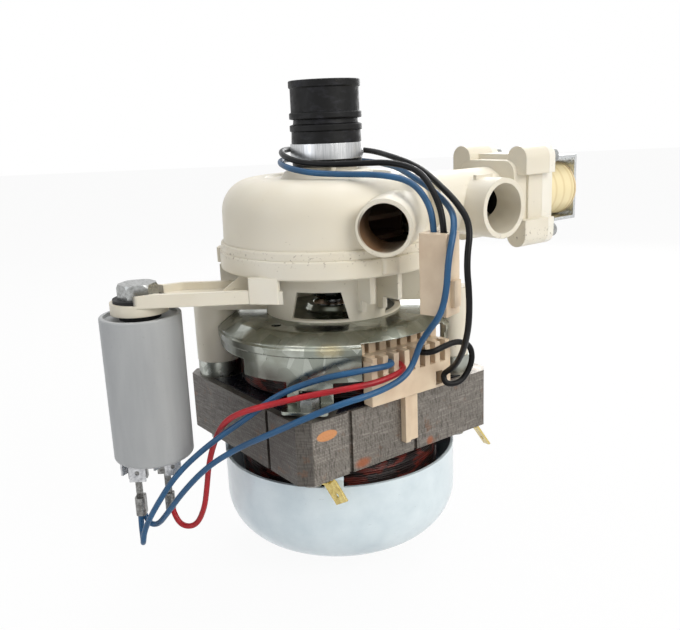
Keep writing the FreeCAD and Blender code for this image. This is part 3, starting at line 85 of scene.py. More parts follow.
class Finish:
    # one material and its node tree, with object coordinates in metres
    def __init__(self, name, base, roughness, metallic=0.0, edge=0.35):
        self.material = bpy.data.materials.new(name)
        self.material.use_nodes = True
        self.tree = self.material.node_tree
        self.shader = self.tree.nodes["Principled BSDF"]
        self.shader.inputs["Base Color"].default_value = colour(base)
        self.shader.inputs["Roughness"].default_value = roughness
        self.shader.inputs["Metallic"].default_value = metallic
        self.place = self.add("ShaderNodeTexCoord").outputs["Object"]
        self.normal = None
        if edge:
            rounded = self.add("ShaderNodeBevel", Radius=edge * MM)
            rounded.samples = 4
            self.normal = rounded.outputs["Normal"]
            self.set("Normal", self.normal)

    def add(self, kind, **values):
        node = self.tree.nodes.new(kind)
        for key, value in values.items():
            socket = node.inputs[key.replace("_", " ")]
            if isinstance(value, bpy.types.NodeSocket):
                self.tree.links.new(value, socket)
            else:
                socket.default_value = value
        return node

    def set(self, name, value):
        socket = self.shader.inputs[name]
        if isinstance(value, bpy.types.NodeSocket):
            self.tree.links.new(value, socket)
        else:
            socket.default_value = value

    def turned(self, degrees=0.0, stretch=(1.0, 1.0, 1.0), move=(0.0, 0.0, 0.0)):
        # object coordinates, moved, turned round Z and stretched
        moved = self.add("ShaderNodeVectorMath", Vector=self.place)
        moved.inputs[1].default_value = [-m for m in move]
        spun = self.add("ShaderNodeVectorRotate", Vector=moved.outputs[0], Angle=math.radians(-degrees))
        scaled = self.add("ShaderNodeVectorMath", Vector=spun.outputs[0])
        scaled.operation = "MULTIPLY"
        scaled.inputs[1].default_value = stretch
        return scaled.outputs[0]

    def noise(self, size_mm, detail=3.0, vector=None, roughness=0.55):
        vector = self.place if vector is None else vector
        node = self.add("ShaderNodeTexNoise", Vector=vector, Scale=1.0 / (size_mm * MM), Detail=detail,
                        Roughness=roughness)
        return node.outputs["Fac"]

    def span(self, value, low, high, start=0.0, stop=1.0):
        node = self.add("ShaderNodeMapRange", Value=value)
        node.inputs["From Min"].default_value = low
        node.inputs["From Max"].default_value = high
        node.inputs["To Min"].default_value = start
        node.inputs["To Max"].default_value = stop
        return node.outputs["Result"]

    def maths(self, operation, first, second=0.0):
        node = self.add("ShaderNodeMath")
        node.operation = operation
        for socket, value in zip(node.inputs, (first, second)):
            if isinstance(value, bpy.types.NodeSocket):
                self.tree.links.new(value, socket)
            else:
                socket.default_value = value
        return node.outputs[0]

    def blend(self, factor, first, second):
        node = self.tree.nodes.new("ShaderNodeMix")
        node.data_type = "RGBA"
        for key, value in ((0, factor), (6, first), (7, second)):
            socket = node.inputs[key]
            if isinstance(value, str):
                value = colour(value)
            if isinstance(value, bpy.types.NodeSocket):
                self.tree.links.new(value, socket)
            else:
                socket.default_value = value
        return node.outputs[2]

    def bands(self, pitch_mm, vector=None, direction="Z", distort=0.0):
        vector = self.place if vector is None else vector
        node = self.add("ShaderNodeTexWave", Vector=vector, Scale=2.0 * math.pi / (20.0 * pitch_mm * MM),
                        Distortion=distort)
        node.bands_direction = direction
        return node.outputs["Fac"]

    def near(self, centre_mm, radii_mm, degrees=0.0, soft=0.25):
        # 1 inside an ellipsoid, falling to 0 at its edge
        stretch = [1.0 / (r * MM) for r in radii_mm]
        spot = self.turned(degrees, stretch, [c * MM for c in centre_mm])
        length = self.add("ShaderNodeVectorMath", Vector=spot)
        length.operation = "LENGTH"
        return self.span(length.outputs["Value"], 1.0, 1.0 - soft)

    def bump(self, height, depth_mm, strength=1.0):
        node = self.add("ShaderNodeBump", Height=height, Distance=depth_mm * MM, Strength=strength)
        if self.normal is not None:
            self.tree.links.new(self.normal, node.inputs["Normal"])
        self.normal = node.outputs["Normal"]
        self.set("Normal", self.normal)

    def along(self, axis, vector=None):
        vector = self.place if vector is None else vector
        return self.add("ShaderNodeSeparateXYZ", Vector=vector).outputs[axis]

    def lay(self, tone, mask, strength, paint):
        # paints a colour over a tone where the mask is 1
        return self.blend(self.maths("MULTIPLY", mask, strength), tone, paint)


def dress(finish, *nodes):
    for name in nodes:
        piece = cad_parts[name]
        piece.data.materials.clear()
        piece.data.materials.append(finish.material)
    print(finish.material.name, "on", ", ".join(nodes) if nodes else "scene pieces")


CORE_TURN = 35.86
core_direction = Vector((math.cos(math.radians(CORE_TURN)), math.sin(math.radians(CORE_TURN)), 0.0))


def from_core(x, y, z):
    # a point in the turned frame of the core, in millimetres, as a world point in millimetres
    across = Vector((-core_direction.y, core_direction.x, 0.0))
    return core_direction * x + across * y + Vector((0.0, 0.0, z))


# %% [markdown]
# The wires are what the eye follows first. On the real pump they are stranded copper in soft PVC,
# 2.2 mm across, so they lie in easy curves with no corners. A NURBS spline of order 3 does that: it
# passes near its control points without kinks, and a round bevel gives it body. The points are the
# same route that the solid model uses, so the wires keep their real length.

# %% Wires
WIRE_D = 2.2
ROUTES = {
    "blue_jumper": [
        (17.6, -40.1, 88.2), (22.1, -46.1, 88.8), (9.6, -53.9, 89.4), (-5.5, -51.5, 86.5),
        (-21.0, -49.5, 80.6), (-32.0, -45.0, 71.0), (-47.4, -41.0, 59.8), (-61.5, -38.0, 46.8),
        (-71.5, -35.5, 31.8), (-77.2, -31.6, 21.2), (-78.9, -29.6, 13.9), (-79.7, -25.8, 13.6),
        (-80.0, -25.3, 20.3), (-79.5, -25.6, 26.6)],
    "red_jumper": [
        (21.8, -37.1, 86.4), (26.1, -43.1, 86.2), (15.7, -51.9, 84.6), (5.0, -54.8, 83.6),
        (-8.7, -54.2, 81.6), (-23.1, -52.3, 78.1), (-34.7, -48.0, 74.0), (-41.8, -42.0, 68.0),
        (-46.7, -34.5, 58.0), (-50.0, -32.0, 48.0), (-51.9, -30.0, 37.0), (-54.0, -28.0, 27.0),
        (-58.0, -26.8, 19.2), (-64.0, -25.4, 18.6), (-67.3, -23.6, 23.8), (-68.4, -22.4, 30.0)],
    "blue_lead": [
        (34.4, -49.64, 130.6), (34.4, -49.64, 139.8), (31.6, -46.6, 147.4), (27.0, -40.0, 152.0),
        (17.2, -34.8, 153.8), (5.0, -30.8, 154.0), (-6.0, -26.0, 154.6), (-13.9, -18.2, 156.0),
        (-17.8, -8.4, 157.4), (-17.9, 1.8, 158.2), (-14.4, 11.4, 158.0), (-6.6, 17.8, 157.4),
        (3.4, 19.2, 156.8), (12.6, 16.0, 156.2), (19.2, 8.4, 155.6), (23.2, -1.6, 155.0),
        (26.6, -12.6, 154.2), (30.2, -26.0, 151.8), (36.2, -37.6, 147.6), (40.8, -48.0, 142.2),
        (40.2, -56.4, 137.2), (37.4, -60.6, 128.0), (36.8, -60.6, 117.5), (35.2, -58.0, 108.8),
        (31.6, -52.0, 101.6), (29.2, -47.0, 95.6), (27.6, -45.8, 89.6), (24.2, -48.8, 85.2),
        (18.4, -53.0, 83.0), (10.2, -58.8, 82.0), (1.0, -61.2, 80.4), (-11.5, -62.0, 76.0),
        (-23.5, -56.8, 69.0), (-35.4, -48.5, 61.2), (-48.5, -42.4, 51.7), (-59.3, -38.6, 40.0),
        (-67.2, -33.6, 28.8), (-72.8, -28.4, 21.0), (-78.2, -23.0, 19.8), (-79.5, -22.9, 26.4)],
    "black_lead": [
        (37.4, -51.96, 130.6), (37.4, -51.96, 139.8), (34.8, -46.0, 148.6), (31.0, -38.0, 155.0),
        (22.0, -31.6, 157.6), (10.8, -28.0, 157.4), (-0.5, -24.8, 157.2), (-9.6, -19.6, 158.0),
        (-15.4, -11.6, 159.8), (-17.8, -2.0, 161.4), (-16.2, 7.8, 162.0), (-9.8, 16.0, 161.8),
        (-0.6, 19.6, 161.2), (9.0, 17.6, 160.8), (16.4, 11.4, 160.2), (20.8, 3.0, 159.4),
        (24.6, -7.0, 158.2), (29.4, -18.4, 156.6), (33.8, -30.4, 154.0), (37.4, -41.0, 150.0),
        (41.8, -50.0, 145.0), (45.4, -57.0, 138.0), (43.2, -60.6, 126.6), (44.2, -60.4, 115.8),
        (44.8, -56.6, 105.6), (44.8, -50.6, 97.4), (44.4, -44.5, 90.8), (43.4, -37.8, 85.0),
        (41.9, -32.9, 81.4), (39.6, -30.1, 78.8), (40.4, -32.0, 75.4), (46.1, -29.6, 74.9),
        (49.8, -27.6, 79.0), (51.4, -27.0, 84.0), (50.2, -27.4, 89.0), (45.6, -29.7, 91.4),
        (40.2, -32.6, 90.6), (33.8, -36.9, 89.0), (29.9, -31.3, 88.4)],
}


def pvc(name, base, worn, shine=0.4):
    finish = Finish(name, base, 0.34, edge=0.0)
    finish.set("Specular IOR Level", shine)
    wear = finish.span(finish.noise(9.0), 0.35, 0.75)
    finish.set("Base Color", finish.blend(wear, base, worn))
    finish.set("Roughness", finish.span(finish.noise(1.4), 0.3, 0.7, 0.28, 0.48))
    finish.bump(finish.noise(0.8, 2.0), 0.03)
    return finish


WIRE_FINISH = {
    "blue_jumper": pvc("blue_pvc_insulation", "#1C5580", "#164468"),
    "red_jumper": pvc("red_pvc_insulation", "#B8111F", "#8C0E18"),
    "black_lead": pvc("black_pvc_insulation", "#060607", "#0D0D0F", 0.18),
}
WIRE_FINISH["blue_lead"] = WIRE_FINISH["blue_jumper"]


def wire(name, route):
    data = bpy.data.curves.new(name + "_look", "CURVE")
    data.dimensions = "3D"
    data.bevel_depth = WIRE_D / 2.0 * MM
    data.bevel_resolution = 5
    data.resolution_u = 10
    data.use_fill_caps = True
    spline = data.splines.new("NURBS")
    spline.points.add(len(route) - 1)
    for point, place in zip(spline.points, route):
        point.co = (*(c * MM for c in place), 1.0)
    spline.order_u = 3
    spline.use_endpoint_u = True
    piece = bpy.data.objects.new(name + "_look", data)
    bpy.context.scene.collection.objects.link(piece)
    data.materials.append(WIRE_FINISH[name].material)
    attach(piece, "pump_body")
    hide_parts(name)
    return piece


wires = {name: wire(name, route) for name, route in ROUTES.items()}
print("wires:", len(wires))

# %% [markdown]
# The large mouldings are unpainted polypropylene. The real plastic is a warm ivory with a satin
# skin, a faint orange-peel from the tool, yellower patches from age, and brown specks of dried dirt
# along the seam between the two halves. The colour is mixed from slow noise, and the dirt from fast
# noise that a band in height lets through only near the seam.

# %% Ivory mouldings
SEAM_Z = 126.0
SEAM_DIRT_MM = 3.4
PIPE_CENTRE = (22.0, -31.0, 137.1)
PIPE_TURN = -14.56
PIPE_BORE_R = 8.9
PIPE_MOUTH_Y = -46.3


def ivory(name, base, aged, inside, dirt):
    finish = Finish(name, base, 0.42, edge=0.5)
    slow = finish.span(finish.noise(38.0, 2.0), 0.3, 0.7)
    tone = finish.blend(slow, base, aged)
    height = finish.along("Z")
    off_seam = finish.maths("ABSOLUTE", finish.maths("SUBTRACT", height, SEAM_Z * MM))
    seam = finish.span(off_seam, SEAM_DIRT_MM * MM, 0.2 * MM)
    specks = finish.span(finish.noise(1.1, 4.0), 0.60, 0.70)
    stray = finish.span(finish.noise(1.6, 2.0), 0.735, 0.76)
    in_seam = finish.maths("MULTIPLY", seam, specks)
    grime = finish.maths("MAXIMUM", in_seam, finish.maths("MULTIPLY", stray, 0.35))
    tone = finish.blend(finish.maths("MULTIPLY", grime, 0.8), tone, dirt)
    # The outlet's bore is painted dark: partly a real brown stain, partly painted shade that deepens towards
    # the top of the bore.
    pipe = finish.near(PIPE_CENTRE, (PIPE_BORE_R, 500.0, PIPE_BORE_R), PIPE_TURN, soft=0.03)
    deep = finish.span(finish.along("Y"), PIPE_MOUTH_Y * MM, (PIPE_MOUTH_Y + 0.8) * MM)
    bore_stain_and_shade = finish.maths("MULTIPLY", pipe, deep)
    shade = finish.span(height, (PIPE_CENTRE[2] - 6.0) * MM, (PIPE_CENTRE[2] + 5.0) * MM)
    tone = finish.blend(bore_stain_and_shade, tone, finish.blend(shade, inside, "#2A1D16"))
    finish.set("Base Color", tone)
    finish.set("Roughness", finish.span(finish.noise(6.0), 0.3, 0.7, 0.36, 0.52))
    finish.set("Subsurface Weight", 0.08)
    finish.set("Subsurface Radius", (0.004, 0.003, 0.002))
    finish.bump(finish.noise(0.7, 2.0), 0.02, 0.6)
    finish.bump(finish.noise(14.0, 1.0), 0.12, 0.5)
    return finish


drum_ivory = ivory("ivory_polypropylene", "#E6E0D2", "#DAD2BF", "#8C6C50", "#5A3F28")
casing_ivory = ivory("ivory_polypropylene_casing", "#E8E3D6", "#DAD2BF", "#DDD5C2", "#6B4C30")
bonnet_white = ivory("white_polypropylene_bonnet", "#F2EFE6", "#E6E1D4", "#E2DAC4", "#8A755A")
dress(drum_ivory, "volute_housing")
dress(casing_ivory, "lower_casing")
# The impeller deep inside the housing is coloured a dark grey-brown.
dress(Finish("dark_brown_impeller_plastic", "#6B5646", 0.5), "impeller")
dress(bonnet_white, "valve_bonnet")

# %% [markdown]
# The terminal block, the hanging plug and the coil's bobbin are nylon: a pinker cream than the
# housing and a little glossier, with browner patches where years of warmth have worked on them.


# %% Cream nylon
def nylon(name, base, toasted):
    finish = Finish(name, base, 0.38, edge=0.3)
    slow = finish.span(finish.noise(11.0, 3.0), 0.35, 0.72)
    finish.set("Base Color", finish.blend(slow, base, toasted))
    finish.bump(finish.noise(0.5, 2.0), 0.015, 0.6)
    finish.set("Subsurface Weight", 0.05)
    finish.set("Subsurface Radius", (0.003, 0.002, 0.001))
    return finish


dress(nylon("cream_nylon", "#DFCBB0", "#CDB498"), "terminal_block", "plug_housing")
dress(nylon("bobbin_nylon", "#E6D3AE", "#CDB488"), "coil_bobbin")
dress(nylon("cap_nylon", "#D9DCC6", "#C7CBB2"), "bearing_cap")

# %% [markdown]
# The bell is drawn steel under a thin pale blue-white lacquer. It isn't bare metal, so the metallic
# value stays at zero and a clear coat carries the sharp reflections, over a slightly mottled base
# with fine scuffs from handling.

# %% Lacquered bell
bell = Finish("pale_blue_lacquered_steel", "#DCE8EE", 0.40, edge=0.4)
mottle = bell.span(bell.noise(16.0, 4.0), 0.35, 0.7)
bell_tone = bell.blend(mottle, "#DDE9EF", "#C9D8E0")
scuff = bell.span(bell.noise(2.2, 5.0, bell.turned(0.0, (1.0, 1.0, 5.0))), 0.68, 0.74)
bell_tone = bell.blend(bell.maths("MULTIPLY", scuff, 0.45), bell_tone, "#8E979C")
bell.set("Base Color", bell_tone)
bell.set("Coat Weight", 0.6)
bell.set("Coat Roughness", 0.16)
bell.bump(bell.noise(7.0, 2.0), 0.10, 0.5)
dress(bell, "lower_bell")

# %% [markdown]
# The stator core is some fifty sheets of electrical steel, stacked and welded. Each sheet is half a
# millimetre thick, so its edges read as a fine horizontal grain. A wave texture with a pitch of
# 0.5 mm gives the sheets, uneven noise breaks them up so that some stand proud or catch light, and
# small patches of rust, dark scratches and one orange inspection mark sit where the photograph has
# them.

# %% Laminated core
SHEET_MM = 0.5
LEFT_FACE_X = 41.6
core = Finish("laminated_electrical_steel", "#8F8983", 0.42, metallic=0.65, edge=0.25)
in_core = core.turned(CORE_TURN)
sheets = core.bands(SHEET_MM, distort=0.4)
uneven = core.noise(1.6, 3.0, core.turned(CORE_TURN, (0.25, 0.25, 3.0)))
hatch = core.noise(0.9, 2.0, core.turned(CORE_TURN, (2.2, 2.2, 0.35)))
core_tone = core.blend(core.span(sheets, 0.15, 0.75), "#5C5752", "#8E8880")
core_tone = core.lay(core_tone, core.span(uneven, 0.5, 0.8), 0.6, "#A8A29A")
core_tone = core.lay(core_tone, core.span(hatch, 0.5, 0.66), 0.7, "#47423D")
side = core.along("X", in_core)
# The core's left face is painted darker: painted shade, as the light comes from the right.
left_face_shade = core.span(side, -LEFT_FACE_X * MM, -(LEFT_FACE_X + 0.4) * MM)
core_tone = core.lay(core_tone, left_face_shade, 0.55, "#2E2A27")
rust = core.span(core.noise(5.0, 5.0), 0.60, 0.70)
core_tone = core.blend(core.maths("MULTIPLY", rust, 0.5), core_tone, "#7A553C")
RUST_SPOTS = (((-20.5, -42.3, 52.0), (4.4, 3.0, 2.4)), ((12.5, -42.3, 51.2), (2.2, 3.0, 2.2)))
for centre, radii in RUST_SPOTS:
    spot = core.near(from_core(*centre), radii, CORE_TURN, soft=0.6)
    core_tone = core.blend(core.maths("MULTIPLY", spot, 0.8), core_tone, "#A25A34")
MARK = (-35.8, -42.3, 66.8)
mark = core.near(from_core(*MARK), (4.6, 2.0, 2.0), CORE_TURN, soft=0.12)
core_tone = core.blend(core.maths("MULTIPLY", mark, 0.9), core_tone, "#C98A58")
core.set("Base Color", core_tone)
core.set("Roughness", core.span(uneven, 0.3, 0.7, 0.55, 0.30))
core.bump(sheets, 0.10, 0.9)
core.bump(uneven, 0.12, 0.7)
dress(core, "stator_core", "rotor_core")

# %% [markdown]
# Galvanised steel shows spangle, and the shield also carries larger dark and yellow patches, which are painted
# reflections. Spangle is flat crystals some millimetres across, each with its own shade.
# A Voronoi texture gives each crystal one value, which shifts the colour and the roughness a
# little, and the metal does the rest by reflecting the room.


# %% Bright metals
def galvanised(name, light, dark, roughness, spangle_mm, painted_reflections=()):
    finish = Finish(name, light, roughness, metallic=1.0, edge=0.35)
    crystals = finish.add("ShaderNodeTexVoronoi", Vector=finish.place, Scale=1.0 / (spangle_mm * MM))
    shade = finish.add("ShaderNodeSeparateColor", Color=crystals.outputs["Color"]).outputs[0]
    tone = finish.blend(shade, light, dark)
    cloud = finish.span(finish.noise(12.0, 3.0), 0.42, 0.7)
    tone = finish.lay(tone, cloud, 0.5, "#6E6A5C")
    # each listed patch paints a dark or yellow reflection into the colour
    for centre, radii, strength, paint in painted_reflections:
        tone = finish.lay(tone, finish.near(centre, radii, soft=0.8), strength, paint)
    finish.set("Base Color", tone)
    finish.set("Roughness", finish.span(shade, 0.0, 1.0, roughness - 0.06, roughness + 0.08))
    finish.bump(finish.noise(5.0, 2.0), 0.16, 0.5)
    return finish


def plain_metal(name, light, dark, roughness, stretch=(1.0, 1.0, 1.0), grain_mm=1.2):
    finish = Finish(name, light, roughness, metallic=1.0, edge=0.2)
    grain = finish.noise(grain_mm, 3.0, finish.turned(0.0, stretch))
    finish.set("Base Color", finish.blend(finish.span(grain, 0.3, 0.75), light, dark))
    finish.set("Roughness", finish.span(grain, 0.3, 0.7, roughness - 0.05, roughness + 0.12))
    finish.bump(grain, 0.02, 0.7)
    return finish


# Painted reflections on the shield: dark green-black and brown patches, and one yellow patch.
SHIELD_PAINTED_REFLECTIONS = (
    ((-40.0, -16.0, 90.0), (16.0, 16.0, 12.0), 0.85, "#1E241C"),
    ((-22.0, -38.0, 84.0), (14.0, 10.0, 6.0), 0.7, "#3A2E2C"),
    ((-2.0, -42.0, 94.0), (7.0, 8.0, 3.0), 0.7, "#B59A4C"),
    ((18.0, -40.0, 84.0), (13.0, 10.0, 6.0), 0.6, "#44363A"),
    ((36.0, -26.0, 92.0), (10.0, 10.0, 8.0), 0.5, "#343833"))
dress(galvanised("galvanised_shield_steel", "#AEB2AA", "#868B81", 0.22, 5.5, SHIELD_PAINTED_REFLECTIONS), "upper_shield")
dress(galvanised("galvanised_seat_steel", "#B9BDB6", "#8F938C", 0.32, 2.5), "strap_seats", "post_feet")
dress(plain_metal("zinc_plated_steel", "#B4B6B5", "#7E7F7D", 0.28), "motor_screws", "motor_nuts",
      "capacitor_bolt", "valve_screws")
dress(plain_metal("brushed_clamp_band", "#DADBDC", "#A9ABAD", 0.30, (3.0, 3.0, 0.12)), "hose_clamp")
dress(plain_metal("tinned_blades", "#D5D6D8", "#9A9B9E", 0.25), "capacitor_blades", "coil_blades",
      "terminal_contacts", "plug_pins")
dress(plain_metal("brass_blades", "#D9C887", "#AF9552", 0.25), "earth_blades")
dress(plain_metal("tinned_receptacles", "#9C9C9A", "#4F4D4A", 0.30), "crimp_receptacles")
dress(plain_metal("ground_shaft_steel", "#C2C3C4", "#9FA0A2", 0.18, (1.0, 1.0, 6.0), 0.6),
      "shaft", "guide_tube", "plunger", "plunger_spring")
dress(plain_metal("bright_yoke_plate", "#E4E6E6", "#B9BBBC", 0.20, (0.6, 3.0, 1.0)), "coil_yoke")
dress(plain_metal("sintered_bronze", "#A8824F", "#7A5B34", 0.45, grain_mm=0.4), "lower_bush", "upper_bush")
dress(plain_metal("cast_aluminium_cage", "#C6C7C9", "#9B9CA0", 0.40), "rotor_cage")

# %% [markdown]
# The capacitor is a grey polypropylene can. It is matte, with soft smears that run down its side
# and a dusty top, so the noise is stretched along the can's axis.

# %% Capacitor
can = Finish("grey_capacitor_plastic", "#A9ABAC", 0.52, edge=0.4)
smear = can.noise(8.0, 3.0, can.turned(0.0, (1.0, 1.0, 0.16)))
can_tone = can.blend(can.span(smear, 0.35, 0.7), "#ADAFB0", "#A0A2A4")
dust = can.span(can.noise(1.0, 4.0), 0.64, 0.72)
can_tone = can.lay(can_tone, dust, 0.25, "#85878A")
can.set("Base Color", can_tone)
can.bump(can.noise(0.5, 2.0), 0.02, 0.6)
dress(can, "capacitor_can", "capacitor_lid")
film = Finish("metallised_film_roll", "#C9C9CE", 0.3, metallic=0.6)
film.bump(film.bands(0.4), 0.02)
dress(film, "capacitor_film")

# %% [markdown]
# Rubber is black, but never evenly so: dust sits in its pores and rubbed places turn grey.


# %% Rubber and dark plastics
def rubber(name, base, rubbed, roughness):
    finish = Finish(name, base, roughness, edge=0.3)
    finish.set("Specular IOR Level", 0.22)
    smudge = finish.span(finish.noise(6.0, 5.0, finish.turned(0.0, (1.0, 1.0, 2.0))), 0.52, 0.75)
    finish.set("Base Color", finish.blend(finish.maths("MULTIPLY", smudge, 0.7), base, rubbed))
    finish.set("Roughness", finish.span(finish.noise(3.0), 0.3, 0.7, roughness - 0.12, roughness + 0.12))
    finish.bump(finish.noise(0.6, 3.0), 0.03, 0.7)
    return finish


dress(rubber("black_hose_rubber", "#0A0A0B", "#34343A", 0.50), "inlet_hose")
dress(rubber("black_seal_rubber", "#0E0E0F", "#2A2A2C", 0.55), "bolt_washer", "capacitor_pad", "casing_seal",
      "valve_head", "lower_washer", "upper_washer")
dress(rubber("glossy_dark_phenolic", "#0D100E", "#1E2420", 0.22), "slinger", "seal_head")
dress(rubber("dark_insulating_film", "#12131C", "#20222E", 0.26), "core_film")
seat = Finish("lapped_ceramic", "#DDDBD2", 0.25)
seat.bump(seat.noise(0.6), 0.01)
dress(seat, "seal_seat")

# %% [markdown]
# The windings are enamelled copper, laid by hand into bundles and varnished. They are coloured as dark strands
# running round the motor, with some red-brown bundles; the near-black between the bundles is painted shade of
# the gaps. The solid carries a strand pattern in its bump, and real strands of wire are laid over its edge
# just under the core, where the gap above the bell lets them be seen.

# %% Windings
varnish = Finish("varnished_copper_windings", "#2A100C", 0.35, edge=0.0)
strands = varnish.bands(0.85, distort=2.0)
bundles = varnish.span(varnish.noise(7.0, 2.0, varnish.turned(0.0, (1.0, 1.0, 2.5))), 0.50, 0.60)
# The near-black base between the red-brown bundles is painted shade of the gaps between them; the strand bands
# and the bundles are the windings' own colour.
winding_tone_and_shade = varnish.blend(varnish.span(strands, 0.2, 0.8), "#0C0605", "#26100C")
winding_tone_and_shade = varnish.lay(winding_tone_and_shade, bundles, 0.85, "#6E2417")
varnish.set("Base Color", winding_tone_and_shade)
varnish.set("Specular IOR Level", 0.3)
varnish.set("Coat Weight", 0.2)
varnish.bump(strands, 0.35)
dress(varnish, "stator_windings")
tape = Finish("wound_coil_tape", "#EFDFB2", 0.45, edge=0.2)
along_valve = tape.turned(CORE_TURN)
laps = tape.bands(5.0, along_valve, "X", 0.3)
tape.set("Base Color", tape.blend(tape.span(laps, 0.0, 0.25), "#DFCC9C", "#EBDCB2"))
tape.bump(laps, 0.03)
dress(tape, "coil_winding")

# %% [markdown]
# A repeat is best left to a Geometry Nodes tree: one strand is a circle of wire, and the tree lays
# many of them at stepped heights, each a little wider or narrower than the last. The tree has
# named inputs, ends with Realize Instances and Set Material, and its result is kept as a mesh.

# %% Strands under the core
STRAND_D = 0.85
STRANDS = 17
STRAND_R = 40.2
STRAND_Z0 = 35.5
STRAND_SPREAD = 0.012


def strand_tree():
    tree = bpy.data.node_groups.new("winding_strands", "GeometryNodeTree")
    tree.interface.new_socket("Geometry", in_out="OUTPUT", socket_type="NodeSocketGeometry")
    inputs = (("Strands", "NodeSocketInt", STRANDS),
              ("Radius", "NodeSocketFloat", STRAND_R * MM),
              ("Wire", "NodeSocketFloat", STRAND_D / 2.0 * MM),
              ("Spread", "NodeSocketFloat", STRAND_SPREAD))
    for label, kind, value in inputs:
        socket = tree.interface.new_socket(label, in_out="INPUT", socket_type=kind)
        socket.default_value = value
    made = tree.nodes.new
    join = tree.links.new
    given = made("NodeGroupInput").outputs
    out = made("NodeGroupOutput").inputs
    line = made("GeometryNodeMeshLine")
    line.inputs["Start Location"].default_value = (0.0, 0.0, STRAND_Z0 * MM)
    line.inputs["Offset"].default_value = (0.0, 0.0, STRAND_D * 0.92 * MM)
    join(given["Strands"], line.inputs["Count"])
    ring = made("GeometryNodeCurvePrimitiveCircle")
    ring.inputs["Resolution"].default_value = 120
    join(given["Radius"], ring.inputs["Radius"])
    profile = made("GeometryNodeCurvePrimitiveCircle")
    profile.inputs["Resolution"].default_value = 8
    join(given["Wire"], profile.inputs["Radius"])
    body = made("GeometryNodeCurveToMesh")
    join(ring.outputs["Curve"], body.inputs["Curve"])
    join(profile.outputs["Curve"], body.inputs["Profile Curve"])
    chance = made("FunctionNodeRandomValue")
    chance.data_type = "FLOAT"
    low = made("ShaderNodeMath")
    low.operation = "SUBTRACT"
    low.inputs[0].default_value = 1.0
    join(given["Spread"], low.inputs[1])
    join(low.outputs[0], chance.inputs[2])
    chance.inputs[3].default_value = 1.0
    size = made("ShaderNodeCombineXYZ")
    join(chance.outputs[1], size.inputs["X"])
    join(chance.outputs[1], size.inputs["Y"])
    size.inputs["Z"].default_value = 1.0
    place = made("GeometryNodeInstanceOnPoints")
    join(line.outputs["Mesh"], place.inputs["Points"])
    join(body.outputs["Mesh"], place.inputs["Instance"])
    join(size.outputs["Vector"], place.inputs["Scale"])
    real = made("GeometryNodeRealizeInstances")
    join(place.outputs["Instances"], real.inputs["Geometry"])
    paint = made("GeometryNodeSetMaterial")
    paint.inputs["Material"].default_value = varnish.material
    join(real.outputs["Geometry"], paint.inputs["Geometry"])
    join(paint.outputs["Geometry"], out["Geometry"])
    return tree


def grown(name, tree):
    # runs a tree on an empty mesh and keeps its result as a plain mesh object
    seed = bpy.data.objects.new(name, bpy.data.meshes.new(name))
    bpy.context.scene.collection.objects.link(seed)
    modifier = seed.modifiers.new(name, "NODES")
    modifier.node_group = tree
    result = bpy.data.meshes.new_from_object(seed.evaluated_get(bpy.context.evaluated_depsgraph_get()))
    seed.modifiers.remove(modifier)
    seed.data = result
    return seed


strand_piece = grown("winding_strand_rings", strand_tree())
for face in strand_piece.data.polygons:
    face.use_smooth = True
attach(strand_piece, "pump_body")
print("strand faces:", len(strand_piece.data.polygons))

# %% [markdown]
# The stage is a plain pale floor and a white world. Both are white only where the camera or a
# mirror-like surface looks at them, through Light Path, so that the background is clean without
# flooding the object with light. Large soft lamps come from the right and from above, as in the
# photograph, where the left of the drum is in shade.

# %% Stage and light
def background_rays(tree):
    # 1 for the rays that look at the background: the camera's, and those off or through a surface
    rays = tree.nodes.new("ShaderNodeLightPath")
    total = rays.outputs["Is Camera Ray"]
    for kind in ("Is Glossy Ray", "Is Transmission Ray"):
        either = tree.nodes.new("ShaderNodeMath")
        either.operation = "MAXIMUM"
        tree.links.new(total, either.inputs[0])
        tree.links.new(rays.outputs[kind], either.inputs[1])
        total = either.outputs[0]
    return total


floor_mesh = bpy.data.meshes.new("floor")
FLOOR_HALF = 3.0
FLOOR_GAP = 0.5
floor_mesh.from_pydata([(-FLOOR_HALF, -FLOOR_HALF, 0.0), (FLOOR_HALF, -FLOOR_HALF, 0.0),
                        (FLOOR_HALF, FLOOR_HALF, 0.0), (-FLOOR_HALF, FLOOR_HALF, 0.0)], [], [(0, 1, 2, 3)])
floor = bpy.data.objects.new("floor", floor_mesh)
bpy.context.scene.collection.objects.link(floor)
floor.location.z = -FLOOR_GAP * MM
floor_material = bpy.data.materials.new("pale_floor")
floor_material.use_nodes = True
floor_nodes = floor_material.node_tree.nodes
floor_links = floor_material.node_tree.links
matt = floor_nodes["Principled BSDF"]
matt.inputs["Base Color"].default_value = (0.8, 0.8, 0.8, 1.0)
matt.inputs["Roughness"].default_value = 0.9
FLOOR_GLOW = 0.94
glow = floor_nodes.new("ShaderNodeEmission")
glow.inputs["Strength"].default_value = 1.0
share = floor_nodes.new("ShaderNodeMath")
share.operation = "MULTIPLY"
share.inputs[1].default_value = FLOOR_GLOW
floor_links.new(background_rays(floor_material.node_tree), share.inputs[0])
floor_mix = floor_nodes.new("ShaderNodeMixShader")
floor_links.new(share.outputs[0], floor_mix.inputs[0])
floor_links.new(matt.outputs[0], floor_mix.inputs[1])
floor_links.new(glow.outputs[0], floor_mix.inputs[2])
floor_links.new(floor_mix.outputs[0], floor_nodes["Material Output"].inputs["Surface"])
floor_mesh.materials.append(floor_material)

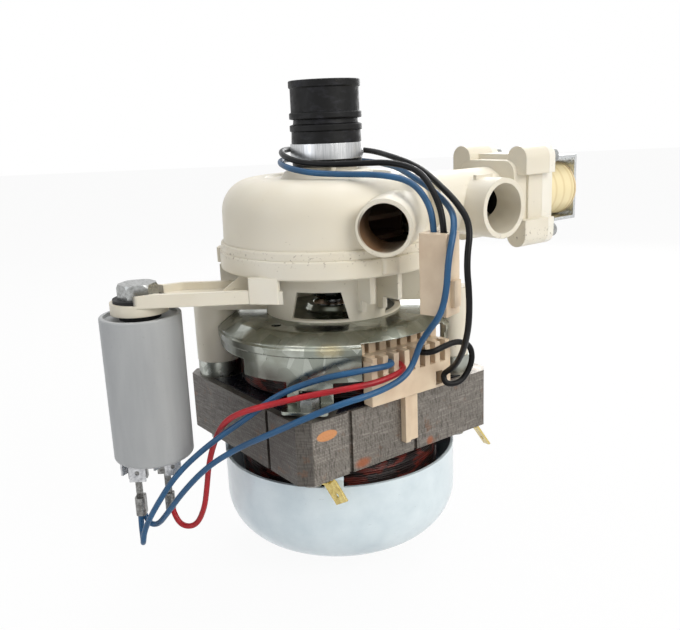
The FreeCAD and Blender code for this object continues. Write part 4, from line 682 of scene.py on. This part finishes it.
world = bpy.data.worlds.new("studio")
bpy.context.scene.world = world
world.use_nodes = True
sky = world.node_tree.nodes
sky_links = world.node_tree.links
room = sky["Background"]
direction = sky.new("ShaderNodeTexCoord")
split = sky.new("ShaderNodeSeparateXYZ")
sky_links.new(direction.outputs["Generated"], split.inputs[0])
ramp = sky.new("ShaderNodeValToRGB")
ROOM_SHADES = ((0.30, 0.10), (0.47, 0.22), (0.56, 0.62), (0.72, 0.95), (1.0, 0.75))
while len(ramp.color_ramp.elements) < len(ROOM_SHADES):
    ramp.color_ramp.elements.new(0.5)
for element, (position, shade) in zip(ramp.color_ramp.elements, ROOM_SHADES):
    element.position = position
    element.color = (shade, shade * 0.99, shade * 0.97, 1.0)
lift = sky.new("ShaderNodeMapRange")
lift.inputs["From Min"].default_value = -1.0
sky_links.new(split.outputs["Z"], lift.inputs["Value"])
sky_links.new(lift.outputs[0], ramp.inputs[0])
sky_links.new(ramp.outputs[0], room.inputs["Color"])
ROOM_LIGHT = 0.42
room.inputs["Strength"].default_value = ROOM_LIGHT
white = sky.new("ShaderNodeBackground")
white.inputs["Color"].default_value = (1.0, 1.0, 1.0, 1.0)
choose = sky.new("ShaderNodeMixShader")
sky_links.new(background_rays(world.node_tree), choose.inputs[0])
sky_links.new(room.outputs[0], choose.inputs[1])
sky_links.new(white.outputs[0], choose.inputs[2])
sky_links.new(choose.outputs[0], sky["World Output"].inputs["Surface"])

AIM = Vector((0.0, -0.01, 0.095))


def lamp(name, place, size, power, tint="#FFFFFF"):
    data = bpy.data.lights.new(name, "AREA")
    data.shape = "RECTANGLE"
    data.size = size[0]
    data.size_y = size[1]
    data.energy = power
    data.color = colour(tint)[:3]
    piece = bpy.data.objects.new(name, data)
    bpy.context.scene.collection.objects.link(piece)
    piece.location = place
    piece.rotation_euler = (AIM - Vector(place)).to_track_quat("-Z", "Y").to_euler()


lamp("key_window", (0.55, -0.55, 0.55), (0.5, 0.5), 4.6, "#FFFDF8")
lamp("top_panel", (0.05, 0.10, 0.80), (0.7, 0.7), 3.2)
lamp("left_fill", (-0.75, -0.45, 0.25), (0.35, 0.6), 1.3, "#F4F8FF")
lamp("back_rim", (0.25, 0.65, 0.35), (0.4, 0.5), 2.2)
print("stage ready")

# %% [markdown]

# %% End
print("scene script finished")
